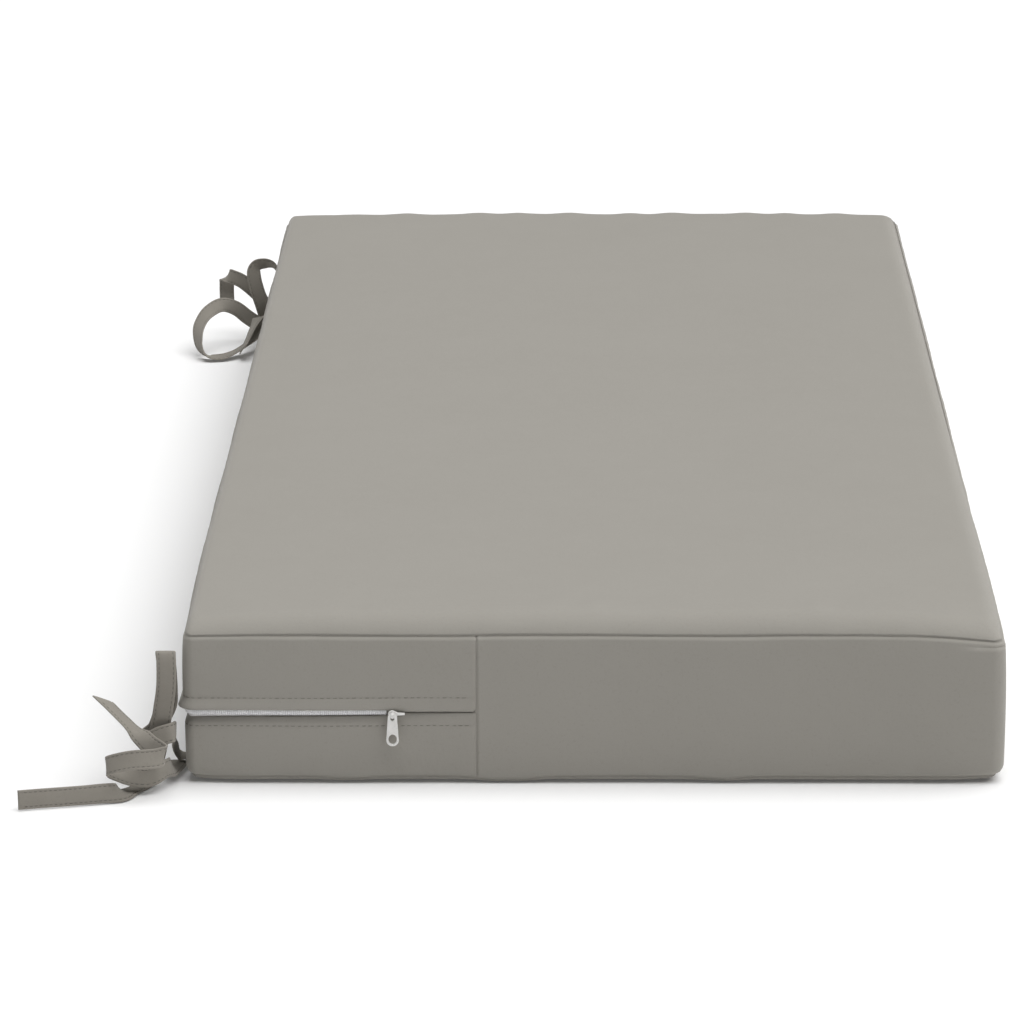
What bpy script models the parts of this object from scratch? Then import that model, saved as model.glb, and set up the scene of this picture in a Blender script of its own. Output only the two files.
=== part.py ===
# Box-edged bench cushion with a zip that wraps round one side and two pairs of fabric ties.
# Metres, +Z up. The origin is the middle of the underside, +Y runs along the cushion,
# and the ties and the zip's long run are on the -X side.

import math

import bmesh
import bpy
from mathutils import Vector

# ---- driving sizes ----
WIDTH = 0.501              # across, X
LENGTH = 1.207             # along, Y
NEAR_CORNER_R = 0.009      # plan radius of the two near corners
FAR_CORNER_R = 0.020       # and of the two far ones
FAR_SPREAD = 0.0014        # the right side runs out this far towards the far end
TOP_SEAM_Z = 0.0928        # height of the seam between boxing and top panel
BOTTOM_SEAM_Z = 0.0047     # height of the seam between boxing and bottom panel
CROWN = 0.0106             # rise of the top panel from its seam to the middle
NEAR_CROWN = 0.0022        # more of it at the near end
SEAM_INSET = 0.0024        # how far the top seam is drawn in from the bulge of the boxing
BOTTOM_SEAM_INSET = 0.0014 # and the bottom seam
LEFT_HIGH = 0.0003         # the zipped long side lies this far in above the zip
LEFT_LOW = 0.0012          # and below it
LEFT_NEAR = 0.0019         # and this much more at the near end
LEFT_STEP = 0.0080         # over this height
LEFT_FROM = -0.2340        # fading out from the side to this x
BULGE = 0.28               # low: the boxing fills out quickly beside both seams
CORNER_TUCK = 0.0040       # the underside is rounder at the corners
LONG_DRAW_IN = 0.0006      # the long sides are drawn in this far half-way along
SHORT_DRAW_IN = 0.0008     # and the short sides this far
SEAM_DIP = 0.0034          # the top seam dips at the near right corner
DIP_REACH = 0.030          # over about this distance
SEAM_WAVE = 0.0003         # small waves of the top seam
SEAM_WAVE_REACH = 0.030    # that fade out this far into the panel

# crown of the top panel: a round roll at the seam and a slow rise behind it; for each side
# the width of the roll and its share of the crown
NEAR_ROLL = (0.0180, 0.90)
FAR_ROLL = (0.0100, 0.56)
LEFT_ROLL = (0.0060, 0.66)
RIGHT_ROLL = (0.0110, 0.72)
ROLL_STEEP = 0.92          # sine of the roll's first slope
SLOW_REACH = 0.045

# ---- zip ----
ZIP_Z = 0.0457             # height of the zip's middle line
JOIN_X = -0.0696           # upright join seam where the zip panel ends, both short sides
JOIN_HALF = 0.0015         # half the width of that seam's dent
JOIN_DENT = 0.0012
COIL_END_X = -0.1248       # the coil goes under the slider here
OPEN_END_X = -0.1158       # the folds meet from here
SHUT_X = -0.1128           # and are closed from here to the join seam
OPEN_CORNER = 0.0027       # half the gap between the folds at the corner
OPEN_SLIDER = 0.0019       # half the gap beside the slider
OPEN_LONG = 0.0022         # half the gap along the long side
OPEN_SHUT = 0.0004         # half the slit where the folds meet
GROOVE_HALF = 0.0036       # half the height of the pocket behind the folds
GROOVE_DEPTH = 0.0036
SHUT_DEPTH = 0.0015
ROW_OFFSET = 0.0092        # topstitching above and below the zip's middle line
UPPER_FOLD_PROUD = 0.0015  # the upper fold stands out from the boxing
LOWER_FOLD_SUNK = 0.0009   # and the lower one lies back
CORNER_PROUD = 0.0010      # both do so more at the near corner
CORNER_SUNK = 0.0006
COIL_HALF = 0.0019         # half the height of the white coil strip
COIL_FACE = 0.0018         # depth of its face behind the boxing
COIL_BACK = 0.0027

# ---- mesh spacing ----
SHORT_STEPS = (7, 3, 12)   # short side: corner to slider, slider to join seam, join seam on
LONG_STEPS = 32
CORNER_STEPS = 6           # even, because the top grid is split at the middle of each corner

# ---- straps of the ties ----
STRAP_WIDTH = 0.0120
STRAP_THICK = 0.0011
STRAP_STEP = 0.0031        # length of one step along a strap
SLANT = 0.0045             # how far the slant-cut end runs on at one edge
SLANT_STEPS = 4            # shared out over this many steps

GREY = (0.385, 0.370, 0.338)
GREY_TIE = (0.225, 0.211, 0.186)
WHITE = (0.82, 0.81, 0.79)

# soft bumps of the top panel's edge: x, rise, half width
FAR_BUMPS = (
    (-0.150, 0.0012, 0.012),
    (-0.092, 0.0013, 0.012),
    (-0.060, 0.0009, 0.009),
    (-0.017, 0.0013, 0.014),
    (0.032, 0.0012, 0.011),
    (0.065, 0.0014, 0.012),
    (0.127, 0.0010, 0.012),
    (0.160, 0.0012, 0.010),
    (0.201, 0.0014, 0.013),
)
NEAR_BUMPS = (
    (-0.175, 0.0004, 0.030),
    (-0.020, 0.0005, 0.016),
    (0.030, -0.0004, 0.018),
    (0.105, 0.0005, 0.020),
    (0.150, -0.0005, 0.016),
    (0.190, 0.0004, 0.018),
)
# puckers of the bottom seam on the near side: x, drop, half width
SEAM_PUCKERS = (
    (-0.148, 0.0012, 0.014),
    (-0.058, 0.0016, 0.013),
    (-0.040, 0.0014, 0.010),
    (0.079, 0.0014, 0.014),
)

# Routes of the straps. Each row is a point of the middle line, then the direction across
# the strap there: x, y, z, across x, across y, across z.
NEAR_LOOP_ROUTE = (
    (-0.2476, -0.5680, 0.0066, 0.00, 1.00, 0.00),   # sewn into the bottom seam
    (-0.2516, -0.5684, 0.0078, 0.00, 1.00, 0.03),
    (-0.2536, -0.5737, 0.0130, 0.00, 0.95, 0.32),
    (-0.2545, -0.5830, 0.0205, 0.00, 0.80, 0.60),
    (-0.2542, -0.5920, 0.0275, 0.00, 0.74, 0.66),
    (-0.2522, -0.6022, 0.0336, 0.00, 0.70, 0.71),
    (-0.2535, -0.6108, 0.0352, -0.10, 0.35, 0.93),  # wraps the foot of the loop
    (-0.2604, -0.6120, 0.0334, -0.25, 0.20, 0.94),
    (-0.2670, -0.6116, 0.0302, -0.25, 0.10, 0.95),
    (-0.2734, -0.6075, 0.0284, -0.12, 0.00, 0.99),
    (-0.2702, -0.6012, 0.0293, -0.30, 0.00, 0.93),
    (-0.2644, -0.5982, 0.0330, -0.60, 0.00, 0.80),
    (-0.2603, -0.5962, 0.0418, -0.95, 0.00, 0.30),
    (-0.2572, -0.5958, 0.0490, -1.00, 0.00, 0.12),  # back of the standing loop
    (-0.2568, -0.5955, 0.0580, -1.00, 0.00, 0.00),
    (-0.2572, -0.5962, 0.0730, -1.00, 0.05, 0.00),
    (-0.2577, -0.5988, 0.0820, -1.00, 0.05, 0.00),
    (-0.2570, -0.6030, 0.0836, -1.00, 0.02, 0.00),  # top of the loop
    (-0.2566, -0.6058, 0.0780, -1.00, 0.00, 0.00),
    (-0.2570, -0.6063, 0.0630, -1.00, 0.00, 0.00),
    (-0.2590, -0.6060, 0.0490, -1.00, 0.00, 0.02),
    (-0.2608, -0.6056, 0.0380, -1.00, 0.00, 0.00),
    (-0.2624, -0.6052, 0.0280, -1.00, 0.00, 0.00),
    (-0.2652, -0.6048, 0.0160, -1.00, 0.00, 0.10),
    (-0.2693, -0.6055, 0.0050, -1.00, 0.10, 0.10),
    (-0.2735, -0.6115, 0.0013, -0.95, 0.30, 0.02),  # flat under the ring
    (-0.2778, -0.6195, 0.0015, -0.93, 0.35, 0.04),
    (-0.2804, -0.6268, 0.0026, -0.90, 0.38, 0.18),
    (-0.2823, -0.6338, 0.0045, -0.66, 0.40, 0.63),
    (-0.2862, -0.6388, 0.0062, -0.30, 0.25, 0.92),  # long end, standing on its edge
    (-0.2935, -0.6420, 0.0068, -0.10, 0.18, 0.97),
    (-0.3010, -0.6442, 0.0068, -0.05, 0.15, 0.98),
    (-0.3160, -0.6482, 0.0068, 0.00, 0.12, 0.99),
    (-0.3300, -0.6515, 0.0068, 0.00, 0.12, 0.99),
    (-0.3430, -0.6550, 0.0068, 0.00, 0.12, 0.99),
)
NEAR_TAIL_ROUTE = (
    (-0.2530, -0.5690, 0.0040, -1.00, 0.00, 0.00),  # sewn under the other strap
    (-0.2540, -0.5770, 0.0043, -0.99, 0.05, 0.10),
    (-0.2552, -0.5846, 0.0054, -0.95, 0.10, 0.30),
    (-0.2554, -0.5915, 0.0074, -0.80, 0.10, 0.60),
    (-0.2546, -0.5990, 0.0098, -0.50, 0.05, 0.86),
    (-0.2549, -0.6070, 0.0122, -0.15, 0.30, 0.94),
    (-0.2569, -0.6136, 0.0134, 0.15, 0.45, 0.87),
    (-0.2608, -0.6186, 0.0126, 0.25, 0.40, 0.87),   # lower wall of the ring
    (-0.2675, -0.6225, 0.0108, 0.05, 0.40, 0.91),
    (-0.2765, -0.6250, 0.0120, -0.10, 0.42, 0.90),
    (-0.2850, -0.6282, 0.0158, -0.20, 0.42, 0.88),
    (-0.2909, -0.6322, 0.0200, -0.12, 0.40, 0.90),
    (-0.2905, -0.6380, 0.0229, -0.05, 0.38, 0.92),
    (-0.2835, -0.6410, 0.0258, 0.00, 0.36, 0.93),   # front wall of the ring
    (-0.2745, -0.6420, 0.0278, 0.00, 0.36, 0.93),
    (-0.2660, -0.6410, 0.0280, 0.03, 0.36, 0.93),
    (-0.2598, -0.6380, 0.0280, 0.15, 0.30, 0.93),
    (-0.2568, -0.6342, 0.0286, 0.20, 0.28, 0.94),
    (-0.2602, -0.6292, 0.0296, 0.34, 0.26, 0.90),   # folds back behind the ring
    (-0.2660, -0.6262, 0.0326, 0.52, 0.34, 0.78),
    (-0.2706, -0.6226, 0.0360, 0.46, 0.62, 0.62),
    (-0.2752, -0.6182, 0.0388, 0.26, 0.94, 0.16),   # short free end
    (-0.2826, -0.6122, 0.0442, 0.20, 0.97, 0.05),
    (-0.2896, -0.6068, 0.0494, 0.20, 0.97, 0.04),
    (-0.2955, -0.6024, 0.0536, 0.20, 0.97, 0.04),
)
FAR_BOW_ROUTE = (
    (-0.2500, 0.5650, 0.0068, 0.00, 1.00, 0.00),    # sewn into the bottom seam
    (-0.2555, 0.5647, 0.0082, 0.00, 1.00, 0.00),
    (-0.2605, 0.5620, 0.0106, 0.25, 0.85, 0.35),
    (-0.2655, 0.5570, 0.0132, 0.42, 0.55, 0.65),
    (-0.2718, 0.5515, 0.0166, 0.50, 0.20, 0.80),
    (-0.2800, 0.5480, 0.0230, 0.50, 0.20, 0.80),
    (-0.2896, 0.5430, 0.0318, 0.35, 0.40, 0.80),
    (-0.3003, 0.5360, 0.0360, 0.02, 0.60, 0.80),    # top of the round loop
    (-0.3106, 0.5280, 0.0320, -0.30, 0.70, 0.62),
    (-0.3168, 0.5190, 0.0245, -0.48, 0.80, 0.30),
    (-0.3178, 0.5080, 0.0165, -0.50, 0.85, 0.00),
    (-0.3148, 0.4975, 0.0088, -0.40, 0.90, -0.05),
    (-0.3082, 0.4910, 0.0038, -0.30, 0.94, 0.05),   # the loop rests on the surface here
    (-0.2985, 0.4926, 0.0029, -0.30, 0.94, 0.12),
    (-0.2890, 0.4995, 0.0050, -0.58, 0.78, -0.15),
    (-0.2810, 0.5085, 0.0078, -0.68, 0.66, -0.27),
    (-0.2740, 0.5190, 0.0112, -0.76, 0.58, -0.24),
    (-0.2694, 0.5300, 0.0146, -0.88, 0.40, -0.10),
    (-0.2680, 0.5380, 0.0182, -0.92, 0.25, 0.00),
    (-0.2684, 0.5405, 0.0226, -0.92, 0.25, -0.05),
    (-0.2700, 0.5350, 0.0256, -0.82, 0.35, -0.30),
    (-0.2726, 0.5230, 0.0232, -0.66, 0.48, -0.52),  # short free end
    (-0.2764, 0.5060, 0.0172, -0.54, 0.55, -0.62),
    (-0.2806, 0.4890, 0.0100, -0.46, 0.57, -0.66),
)
FAR_LOOPS_ROUTE = (
    (-0.2482, 0.5716, 0.0036, 0.00, 1.00, 0.00),    # sewn under the other strap
    (-0.2530, 0.5722, 0.0042, 0.00, 1.00, 0.10),
    (-0.2600, 0.5715, 0.0080, 0.30, 0.80, 0.50),
    (-0.2655, 0.5650, 0.0180, 0.80, 0.45, 0.35),
    (-0.2693, 0.5610, 0.0320, 0.93, 0.30, 0.15),    # first upright loop
    (-0.2729, 0.5604, 0.0435, 0.93, 0.32, 0.15),
    (-0.2750, 0.5610, 0.0530, 0.93, 0.34, 0.10),
    (-0.2752, 0.5625, 0.0585, 0.90, 0.42, -0.05),
    (-0.2725, 0.5645, 0.0625, 0.70, 0.55, -0.45),
    (-0.2675, 0.5665, 0.0634, 0.20, 0.60, -0.78),
    (-0.2620, 0.5685, 0.0618, 0.05, 0.70, -0.70),
    (-0.2572, 0.5710, 0.0570, 0.25, 0.88, -0.40),
    (-0.2552, 0.5740, 0.0500, 0.15, 0.98, -0.10),
    (-0.2544, 0.5760, 0.0420, 0.00, 1.00, 0.00),
    (-0.2544, 0.5765, 0.0340, 0.00, 1.00, 0.00),    # down beside the cushion
    (-0.2554, 0.5770, 0.0255, 0.00, 1.00, 0.00),
    (-0.2594, 0.5770, 0.0210, 0.00, 1.00, 0.00),
    (-0.2650, 0.5760, 0.0250, -0.25, 0.75, -0.60),
    (-0.2715, 0.5745, 0.0340, -0.50, 0.25, -0.83),  # second upright loop
    (-0.2790, 0.5730, 0.0422, -0.45, 0.00, -0.88),
    (-0.2870, 0.5730, 0.0482, -0.22, 0.00, -0.97),
    (-0.2930, 0.5734, 0.0507, -0.08, -0.05, -0.99),  # folded over at a slant
    (-0.2964, 0.5743, 0.0514, -0.25, -0.30, -0.92),
    (-0.2982, 0.5758, 0.0510, -0.60, -0.45, -0.66),
    (-0.2989, 0.5773, 0.0498, -0.86, -0.38, -0.34),
    (-0.2990, 0.5783, 0.0480, -0.97, -0.20, -0.10),
    (-0.2989, 0.5786, 0.0455, -1.00, 0.00, 0.00),
    (-0.2989, 0.5779, 0.0377, -1.00, 0.00, 0.00),
    (-0.2986, 0.5763, 0.0287, -1.00, 0.00, 0.00),
)


def clear_scene():
    for thing in list(bpy.data.objects):
        bpy.data.objects.remove(thing, do_unlink=True)


def make_material(name, colour, roughness, metallic=0.0):
    material = bpy.data.materials.new(name)
    material.use_nodes = True
    shader = material.node_tree.nodes["Principled BSDF"]
    shader.inputs["Base Color"].default_value = (*colour, 1.0)
    shader.inputs["Roughness"].default_value = roughness
    shader.inputs["Metallic"].default_value = metallic
    material.diffuse_color = (*colour, 1.0)
    return material


def finish_object(name, bm, material, sharp_degrees=50.0):
    bmesh.ops.recalc_face_normals(bm, faces=bm.faces)
    mesh = bpy.data.meshes.new(name)
    bm.to_mesh(mesh)
    bm.free()
    mesh.shade_smooth()
    mesh.set_sharp_from_angle(angle=math.radians(sharp_degrees))
    mesh.materials.append(material)
    thing = bpy.data.objects.new(name, mesh)
    bpy.context.collection.objects.link(thing)
    return thing


def smooth_step(value):
    value = min(max(value, 0.0), 1.0)
    return value * value * (3.0 - 2.0 * value)


def bell(distance, half_width):
    return math.exp(-(distance / half_width) ** 2)


def bumps(table, x):
    return sum(rise * bell(x - place, half) for place, rise, half in table)


# ---- plan outline ----

def make_stations():
    """Stations round the outline, from the near left corner: (side, share along it) on a
    straight side and (corner, share of the quarter turn) on a corner."""
    def short_side(radius):
        straight = WIDTH - 2 * radius

        def share_at(x):
            return (x + straight / 2) / straight

        coil_end, open_end, shut = (share_at(x) for x in (COIL_END_X, OPEN_END_X, SHUT_X))
        join = share_at(JOIN_X)
        before, after = join - JOIN_HALF / straight, join + JOIN_HALF / straight
        left, middle, right = SHORT_STEPS
        shares = [coil_end * i / left for i in range(left)]
        shares += [coil_end, open_end]
        shares += [shut + (before - shut) * i / middle for i in range(middle)]
        shares += [before, join]
        shares += [after + (1 - after) * i / right for i in range(right)]
        return shares

    near = short_side(NEAR_CORNER_R)
    long_side = [i / LONG_STEPS for i in range(LONG_STEPS)]
    far = [0.0] + [1 - share for share in reversed(short_side(FAR_CORNER_R)[1:])]
    stations = []
    for side, shares in enumerate((near, long_side, far, long_side)):
        stations += [("side", side, share) for share in shares]
        stations += [("corner", side, i / CORNER_STEPS) for i in range(CORNER_STEPS)]
    return stations


def outline_point(station, inset):
    """Point of the plan outline, moved in by inset."""
    kind, side, share = station
    half_x = WIDTH / 2 - inset
    half_y = LENGTH / 2 - inset
    corners = ((-1, -1), (1, -1), (1, 1), (-1, 1))
    normals = ((0, -1), (1, 0), (0, 1), (-1, 0))

    def corner(index):
        full = NEAR_CORNER_R if corners[index][1] < 0 else FAR_CORNER_R
        radius = max(full - inset, 0.25 * full)
        centre = (corners[index][0] * (half_x - radius), corners[index][1] * (half_y - radius))
        return Vector(centre), radius

    centre, radius = corner((side + 1) % 4)
    first = Vector(normals[side])
    if kind == "side":
        start, start_radius = corner(side)
        place = (start + first * start_radius).lerp(centre + first * radius, share)
    else:
        turn = math.radians(90) * share
        second = Vector(normals[(side + 1) % 4])
        place = centre + (first * math.cos(turn) + second * math.sin(turn)) * radius
    if place.x > 0:
        place.x += FAR_SPREAD * place.x / half_x * smooth_step((place.y + 0.32) / 0.40)
    return place


def draw_in(station):
    """How far the middle of a side is pulled in."""
    kind, side, share = station
    if kind == "corner":
        return 0.0
    deep = LONG_DRAW_IN if side % 2 else SHORT_DRAW_IN
    return deep * math.sin(math.pi * share) ** 2


def skin_point(station, inset, z):
    """Point of the cushion's skin: the zipped long side lies a little further in, most below
    the zip and at its near end."""
    flat = outline_point(station, inset)
    low = smooth_step((ZIP_Z + LEFT_STEP / 2 - z) / LEFT_STEP)
    move = LEFT_HIGH + (LEFT_LOW - LEFT_HIGH) * low + LEFT_NEAR * smooth_step((-0.38 - flat.y) / 0.20)
    move *= smooth_step((LEFT_FROM - flat.x) / (LEFT_FROM + WIDTH / 2))
    return Vector((flat.x + move, flat.y, z))


def corner_tuck(station):
    """Extra inset of the underside at a corner."""
    kind, side, share = station
    place = outline_point(station, 0.0)
    away = math.hypot(WIDTH / 2 - abs(place.x), LENGTH / 2 - abs(place.y))
    return CORNER_TUCK * bell(away, 0.018)


def boxing_inset(station, z):
    """Inset of the boxing at a height: drawn in at both seams, fullest between them."""
    share = (z - BOTTOM_SEAM_Z) / (TOP_SEAM_Z - BOTTOM_SEAM_Z)
    share = min(max(share, 0.0), 1.0)
    bulge = (4 * share * (1 - share)) ** BULGE
    place = outline_point(station, 0.0)
    ripple = 0.0003 * math.sin(47 * place.x + 31 * place.y) * bulge
    edge = BOTTOM_SEAM_INSET if share < 0.5 else SEAM_INSET
    return draw_in(station) + edge * (1 - bulge) + ripple


def top_seam_z(place):
    """Height of the top seam, wavy and with its dip, carried a little way into the panel."""
    corner = math.hypot(place.x - WIDTH / 2, place.y + LENGTH / 2)
    edge = min(WIDTH / 2 - abs(place.x), LENGTH / 2 - abs(place.y))
    wave = SEAM_WAVE * math.sin(38 * place.x + 17 * place.y) * bell(edge, SEAM_WAVE_REACH)
    return TOP_SEAM_Z - SEAM_DIP * bell(corner, DIP_REACH) + wave


def roll_rise(away, reach):
    """Height share of a round roll, from 0 at the seam to 1 where it meets the flat."""
    left = ROLL_STEEP * max(1 - away / reach, 0.0)
    low = math.sqrt(1 - ROLL_STEEP ** 2)
    return (math.sqrt(1 - left * left) - low) / (1 - low)


def top_height(place):
    """Height of the top panel, from the distance to the nearest edges."""
    rise = CROWN + NEAR_CROWN * smooth_step((-0.15 - place.y) / 0.30)
    across = (abs(place.x), WIDTH / 2, LEFT_ROLL if place.x < 0 else RIGHT_ROLL)
    along = (abs(place.y), LENGTH / 2, NEAR_ROLL if place.y < 0 else FAR_ROLL)
    for reach, half, (width, share) in (across, along):
        away = max(half - SEAM_INSET - reach, 0.0)
        slow = 1 - math.exp(-away / SLOW_REACH)
        rise *= share * roll_rise(away, width) + (1 - share) * slow
    far_edge = bell(place.y - (LENGTH / 2 - 0.014), 0.014)
    near_edge = bell(place.y + (LENGTH / 2 - 0.045), 0.035)
    rise += far_edge * bumps(FAR_BUMPS, place.x) + near_edge * bumps(NEAR_BUMPS, place.x)
    return top_seam_z(place) + rise


# ---- zip ----

def zip_state(station):
    """(has folds, half opening, pocket depth, corner share) at a station."""
    kind, side, share = station
    place = outline_point(station, 0.0)
    on_short = (kind == "side" and side in (0, 2))
    if side == 1 or (kind == "corner" and side in (0, 1)):
        return False, 0.0, 0.0, 0.0
    if on_short and place.x >= JOIN_X - 1e-5:
        return False, 0.0, 0.0, 0.0
    corner = math.hypot(place.x + WIDTH / 2, place.y + LENGTH / 2)
    corner_share = bell(corner, 0.030)
    if on_short and place.x > SHUT_X - 1e-5:
        return True, OPEN_SHUT, SHUT_DEPTH, 0.0
    if on_short:
        along = smooth_step((place.x + WIDTH / 2) / (OPEN_END_X + WIDTH / 2))
        half = OPEN_CORNER + (OPEN_SLIDER - OPEN_CORNER) * along
    elif kind == "corner" and side == 3:
        half = OPEN_LONG + (OPEN_CORNER - OPEN_LONG) * share
    elif kind == "corner":
        half = OPEN_CORNER + (OPEN_LONG - OPEN_CORNER) * share
    else:
        half = OPEN_LONG
    return True, half, GROOVE_DEPTH, corner_share


def profile(station):
    """Inset and height of each ring at a station, from the underside to the top panel."""
    has_zip, half, depth, corner = zip_state(station)
    plain = boxing_inset(station, ZIP_Z)
    place = outline_point(station, 0.0)
    seam_z = top_seam_z(place)
    drawn = draw_in(station)
    drop = bumps(SEAM_PUCKERS, place.x) if place.y < -LENGTH / 2 + 0.002 else 0.0
    dent = JOIN_DENT if abs(place.x - JOIN_X) < JOIN_HALF / 2 else 0.0
    if has_zip:
        pocket = max(GROOVE_HALF if depth == GROOVE_DEPTH else half, half)
        lower = plain + LOWER_FOLD_SUNK + CORNER_SUNK * corner
        upper = plain - UPPER_FOLD_PROUD - CORNER_PROUD * corner
    else:
        half = pocket = 0.0012
        lower = upper = plain
    lower_row = ZIP_Z - ROW_OFFSET
    upper_row = ZIP_Z + ROW_OFFSET
    under = BOTTOM_SEAM_INSET + drawn + corner_tuck(station)
    rings = [
        (0.0450, 0.0),
        (0.0160 + under, 0.0),
        (0.0072 + under, 0.0010 - 0.4 * drop),
        (0.0020 + under, 0.0032 - 0.9 * drop),
        (0.0004 + under, BOTTOM_SEAM_Z - drop),
        (boxing_inset(station, 0.0078) + dent + 0.2 * corner_tuck(station), 0.0078 - 0.5 * drop),
        (boxing_inset(station, 0.0180) + dent, 0.0180),
        (boxing_inset(station, lower_row) + dent, lower_row),
        (lower + dent, ZIP_Z - half),
        (plain + depth + dent, ZIP_Z - pocket * (1 if has_zip else 0.5)),
        (plain + depth + dent, ZIP_Z + pocket * (1 if has_zip else 0.5)),
        (upper + dent, ZIP_Z + half),
        (boxing_inset(station, upper_row) + dent, upper_row),
        (boxing_inset(station, 0.0720) + dent, 0.0720),
        (boxing_inset(station, 0.0850) + dent, 0.0850),
        (boxing_inset(station, 0.0905) + dent, seam_z - 0.0020),
        (SEAM_INSET + 0.0004 + drawn, seam_z),
    ]
    return rings, drawn


def top_point(station, inset, drawn):
    flat = outline_point(station, inset)
    return skin_point(station, inset + drawn, top_height(flat))


def ring_faces(bm, lower, upper):
    count = len(lower)
    for i in range(count):
        j = (i + 1) % count
        bm.faces.new((lower[i], lower[j], upper[j], upper[i]))


def fill_top(bm, ring, stations):
    """Fills the last ring with a grid split at the middle of each corner."""
    middle = [i for i, s in enumerate(stations) if s[0] == "corner" and s[2] == 0.5]
    near_right, far_right, far_left, near_left = middle
    count = len(ring)

    def walk(start, end):
        steps = (end - start) % count
        return [ring[(start + k) % count] for k in range(steps + 1)]

    bottom = walk(near_left, near_right)
    right = walk(near_right, far_right)
    top = list(reversed(walk(far_right, far_left)))
    left = list(reversed(walk(far_left, near_left)))
    columns = len(bottom) - 1
    rows = len(left) - 1
    grid = {}
    for i in range(columns + 1):
        grid[i, 0] = bottom[i]
        grid[i, rows] = top[i]
    for j in range(rows + 1):
        grid[0, j] = left[j]
        grid[columns, j] = right[j]
    for i in range(1, columns):
        for j in range(1, rows):
            u = i / columns
            v = j / rows
            blend = bottom[i].co * (1 - v) + top[i].co * v + left[j].co * (1 - u) + right[j].co * u
            blend -= bottom[0].co * (1 - u) * (1 - v) + bottom[-1].co * u * (1 - v)
            blend -= top[0].co * (1 - u) * v + top[-1].co * u * v
            blend.z = top_height(blend)
            grid[i, j] = bm.verts.new(blend)
    for i in range(columns):
        for j in range(rows):
            bm.faces.new((grid[i, j], grid[i + 1, j], grid[i + 1, j + 1], grid[i, j + 1]))


def build_cushion(material):
    stations = make_stations()
    bm = bmesh.new()
    rings = []
    profiles = [profile(station) for station in stations]
    for level in range(len(profiles[0][0])):
        ring = []
        for station, (levels, drawn) in zip(stations, profiles):
            ring.append(bm.verts.new(skin_point(station, *levels[level])))
        rings.append(ring)
    for inset in (0.0040, 0.0065, 0.0105, 0.0170, 0.0300):
        ring = [bm.verts.new(top_point(station, inset, drawn))
                for station, (levels, drawn) in zip(stations, profiles)]
        rings.append(ring)
    for lower, upper in zip(rings, rings[1:]):
        ring_faces(bm, lower, upper)
    bm.faces.new(list(reversed(rings[0])))
    fill_top(bm, rings[-1], stations)
    return finish_object("cushion", bm, material)


def build_coil(material):
    """The strip of white coil that shows between the folds."""
    stations = make_stations()
    bm = bmesh.new()
    sections = []
    chosen = []
    near_left = [s for s in stations if s[0] == "side" and s[1] == 0]
    for station in stations[len(stations) // 2:] + near_left:
        has_zip, half, depth, corner = zip_state(station)
        place = outline_point(station, 0.0)
        if has_zip and depth == GROOVE_DEPTH and place.x < COIL_END_X + 1e-5:
            chosen.append(station)
    for station in chosen:
        plain = boxing_inset(station, ZIP_Z)
        corners = ((COIL_FACE, -1), (COIL_FACE, 1), (COIL_BACK, 1), (COIL_BACK, -1))
        sections.append([bm.verts.new(skin_point(station, plain + depth, ZIP_Z + side * COIL_HALF))
                         for depth, side in corners])
    for first, second in zip(sections, sections[1:]):
        ring_faces(bm, first, second)
    bm.faces.new(list(reversed(sections[0])))
    bm.faces.new(sections[-1])
    return finish_object("zip_coil", bm, material, 30.0)


# ---- slider and puller ----

BODY_LENGTH = 0.0102
BODY_HEIGHT = 0.0046
NOSE_HEIGHT = 0.0012
BODY_THICK = 0.0018
BODY_X = -0.1180           # middle of the slider
FACE_Y = -0.6053           # back of the slider, just proud of the near boxing
POST_R = 0.0007
POST_LENGTH = 0.0022
PULL_X = -0.1204
PULL_TOP_Z = 0.0469
PULL_LENGTH = 0.0210
PULL_HALF_TOP = 0.0028
PULL_HALF_END = 0.0038
PULL_THICK = 0.0010
PULL_GAP = 0.0004
POST_HOLE_R = 0.0011
EYE_HALF_X = 0.0025
EYE_HALF_Z = 0.0030
EYE_FROM_END = 0.0044
ROUND_STEPS = 16


def rounded_plate(bm, outline, y_front, y_back):
    front = [bm.verts.new((x, y_front, z)) for x, z in outline]
    back = [bm.verts.new((x, y_back, z)) for x, z in outline]
    ring_faces(bm, front, back)
    bm.faces.new(list(reversed(front)))
    bm.faces.new(back)


def build_slider(material):
    bm = bmesh.new()
    half = BODY_LENGTH / 2
    outline = []
    for i in range(ROUND_STEPS // 2 + 1):        # broad left end
        turn = math.radians(90) + math.pi * i / (ROUND_STEPS // 2)
        outline.append((BODY_X - half * 0.45 + 0.55 * half * math.cos(turn),
                        ZIP_Z + BODY_HEIGHT / 2 * math.sin(turn)))
    outline += [(BODY_X + half * 0.2, ZIP_Z - NOSE_HEIGHT * 0.8),
                (BODY_X + half, ZIP_Z - NOSE_HEIGHT / 2),
                (BODY_X + half, ZIP_Z + NOSE_HEIGHT / 2),
                (BODY_X + half * 0.2, ZIP_Z + NOSE_HEIGHT * 0.8)]
    rounded_plate(bm, outline, FACE_Y - BODY_THICK, FACE_Y)
    body = finish_object("zip_slider", bm, material, 30.0)
    post_z = PULL_TOP_Z - 0.0035
    bpy.ops.mesh.primitive_cylinder_add(
        vertices=ROUND_STEPS, radius=POST_R, depth=POST_LENGTH + BODY_THICK,
        location=(PULL_X, FACE_Y - (POST_LENGTH + BODY_THICK) / 2 - 0.0002, post_z),
        rotation=(math.radians(90), 0, 0))
    post = bpy.context.object
    post.name = "post_guide"
    post.hide_render = True
    post.display_type = "WIRE"
    join = body.modifiers.new("post", "BOOLEAN")
    join.operation = "UNION"
    join.object = post
    return body


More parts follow.
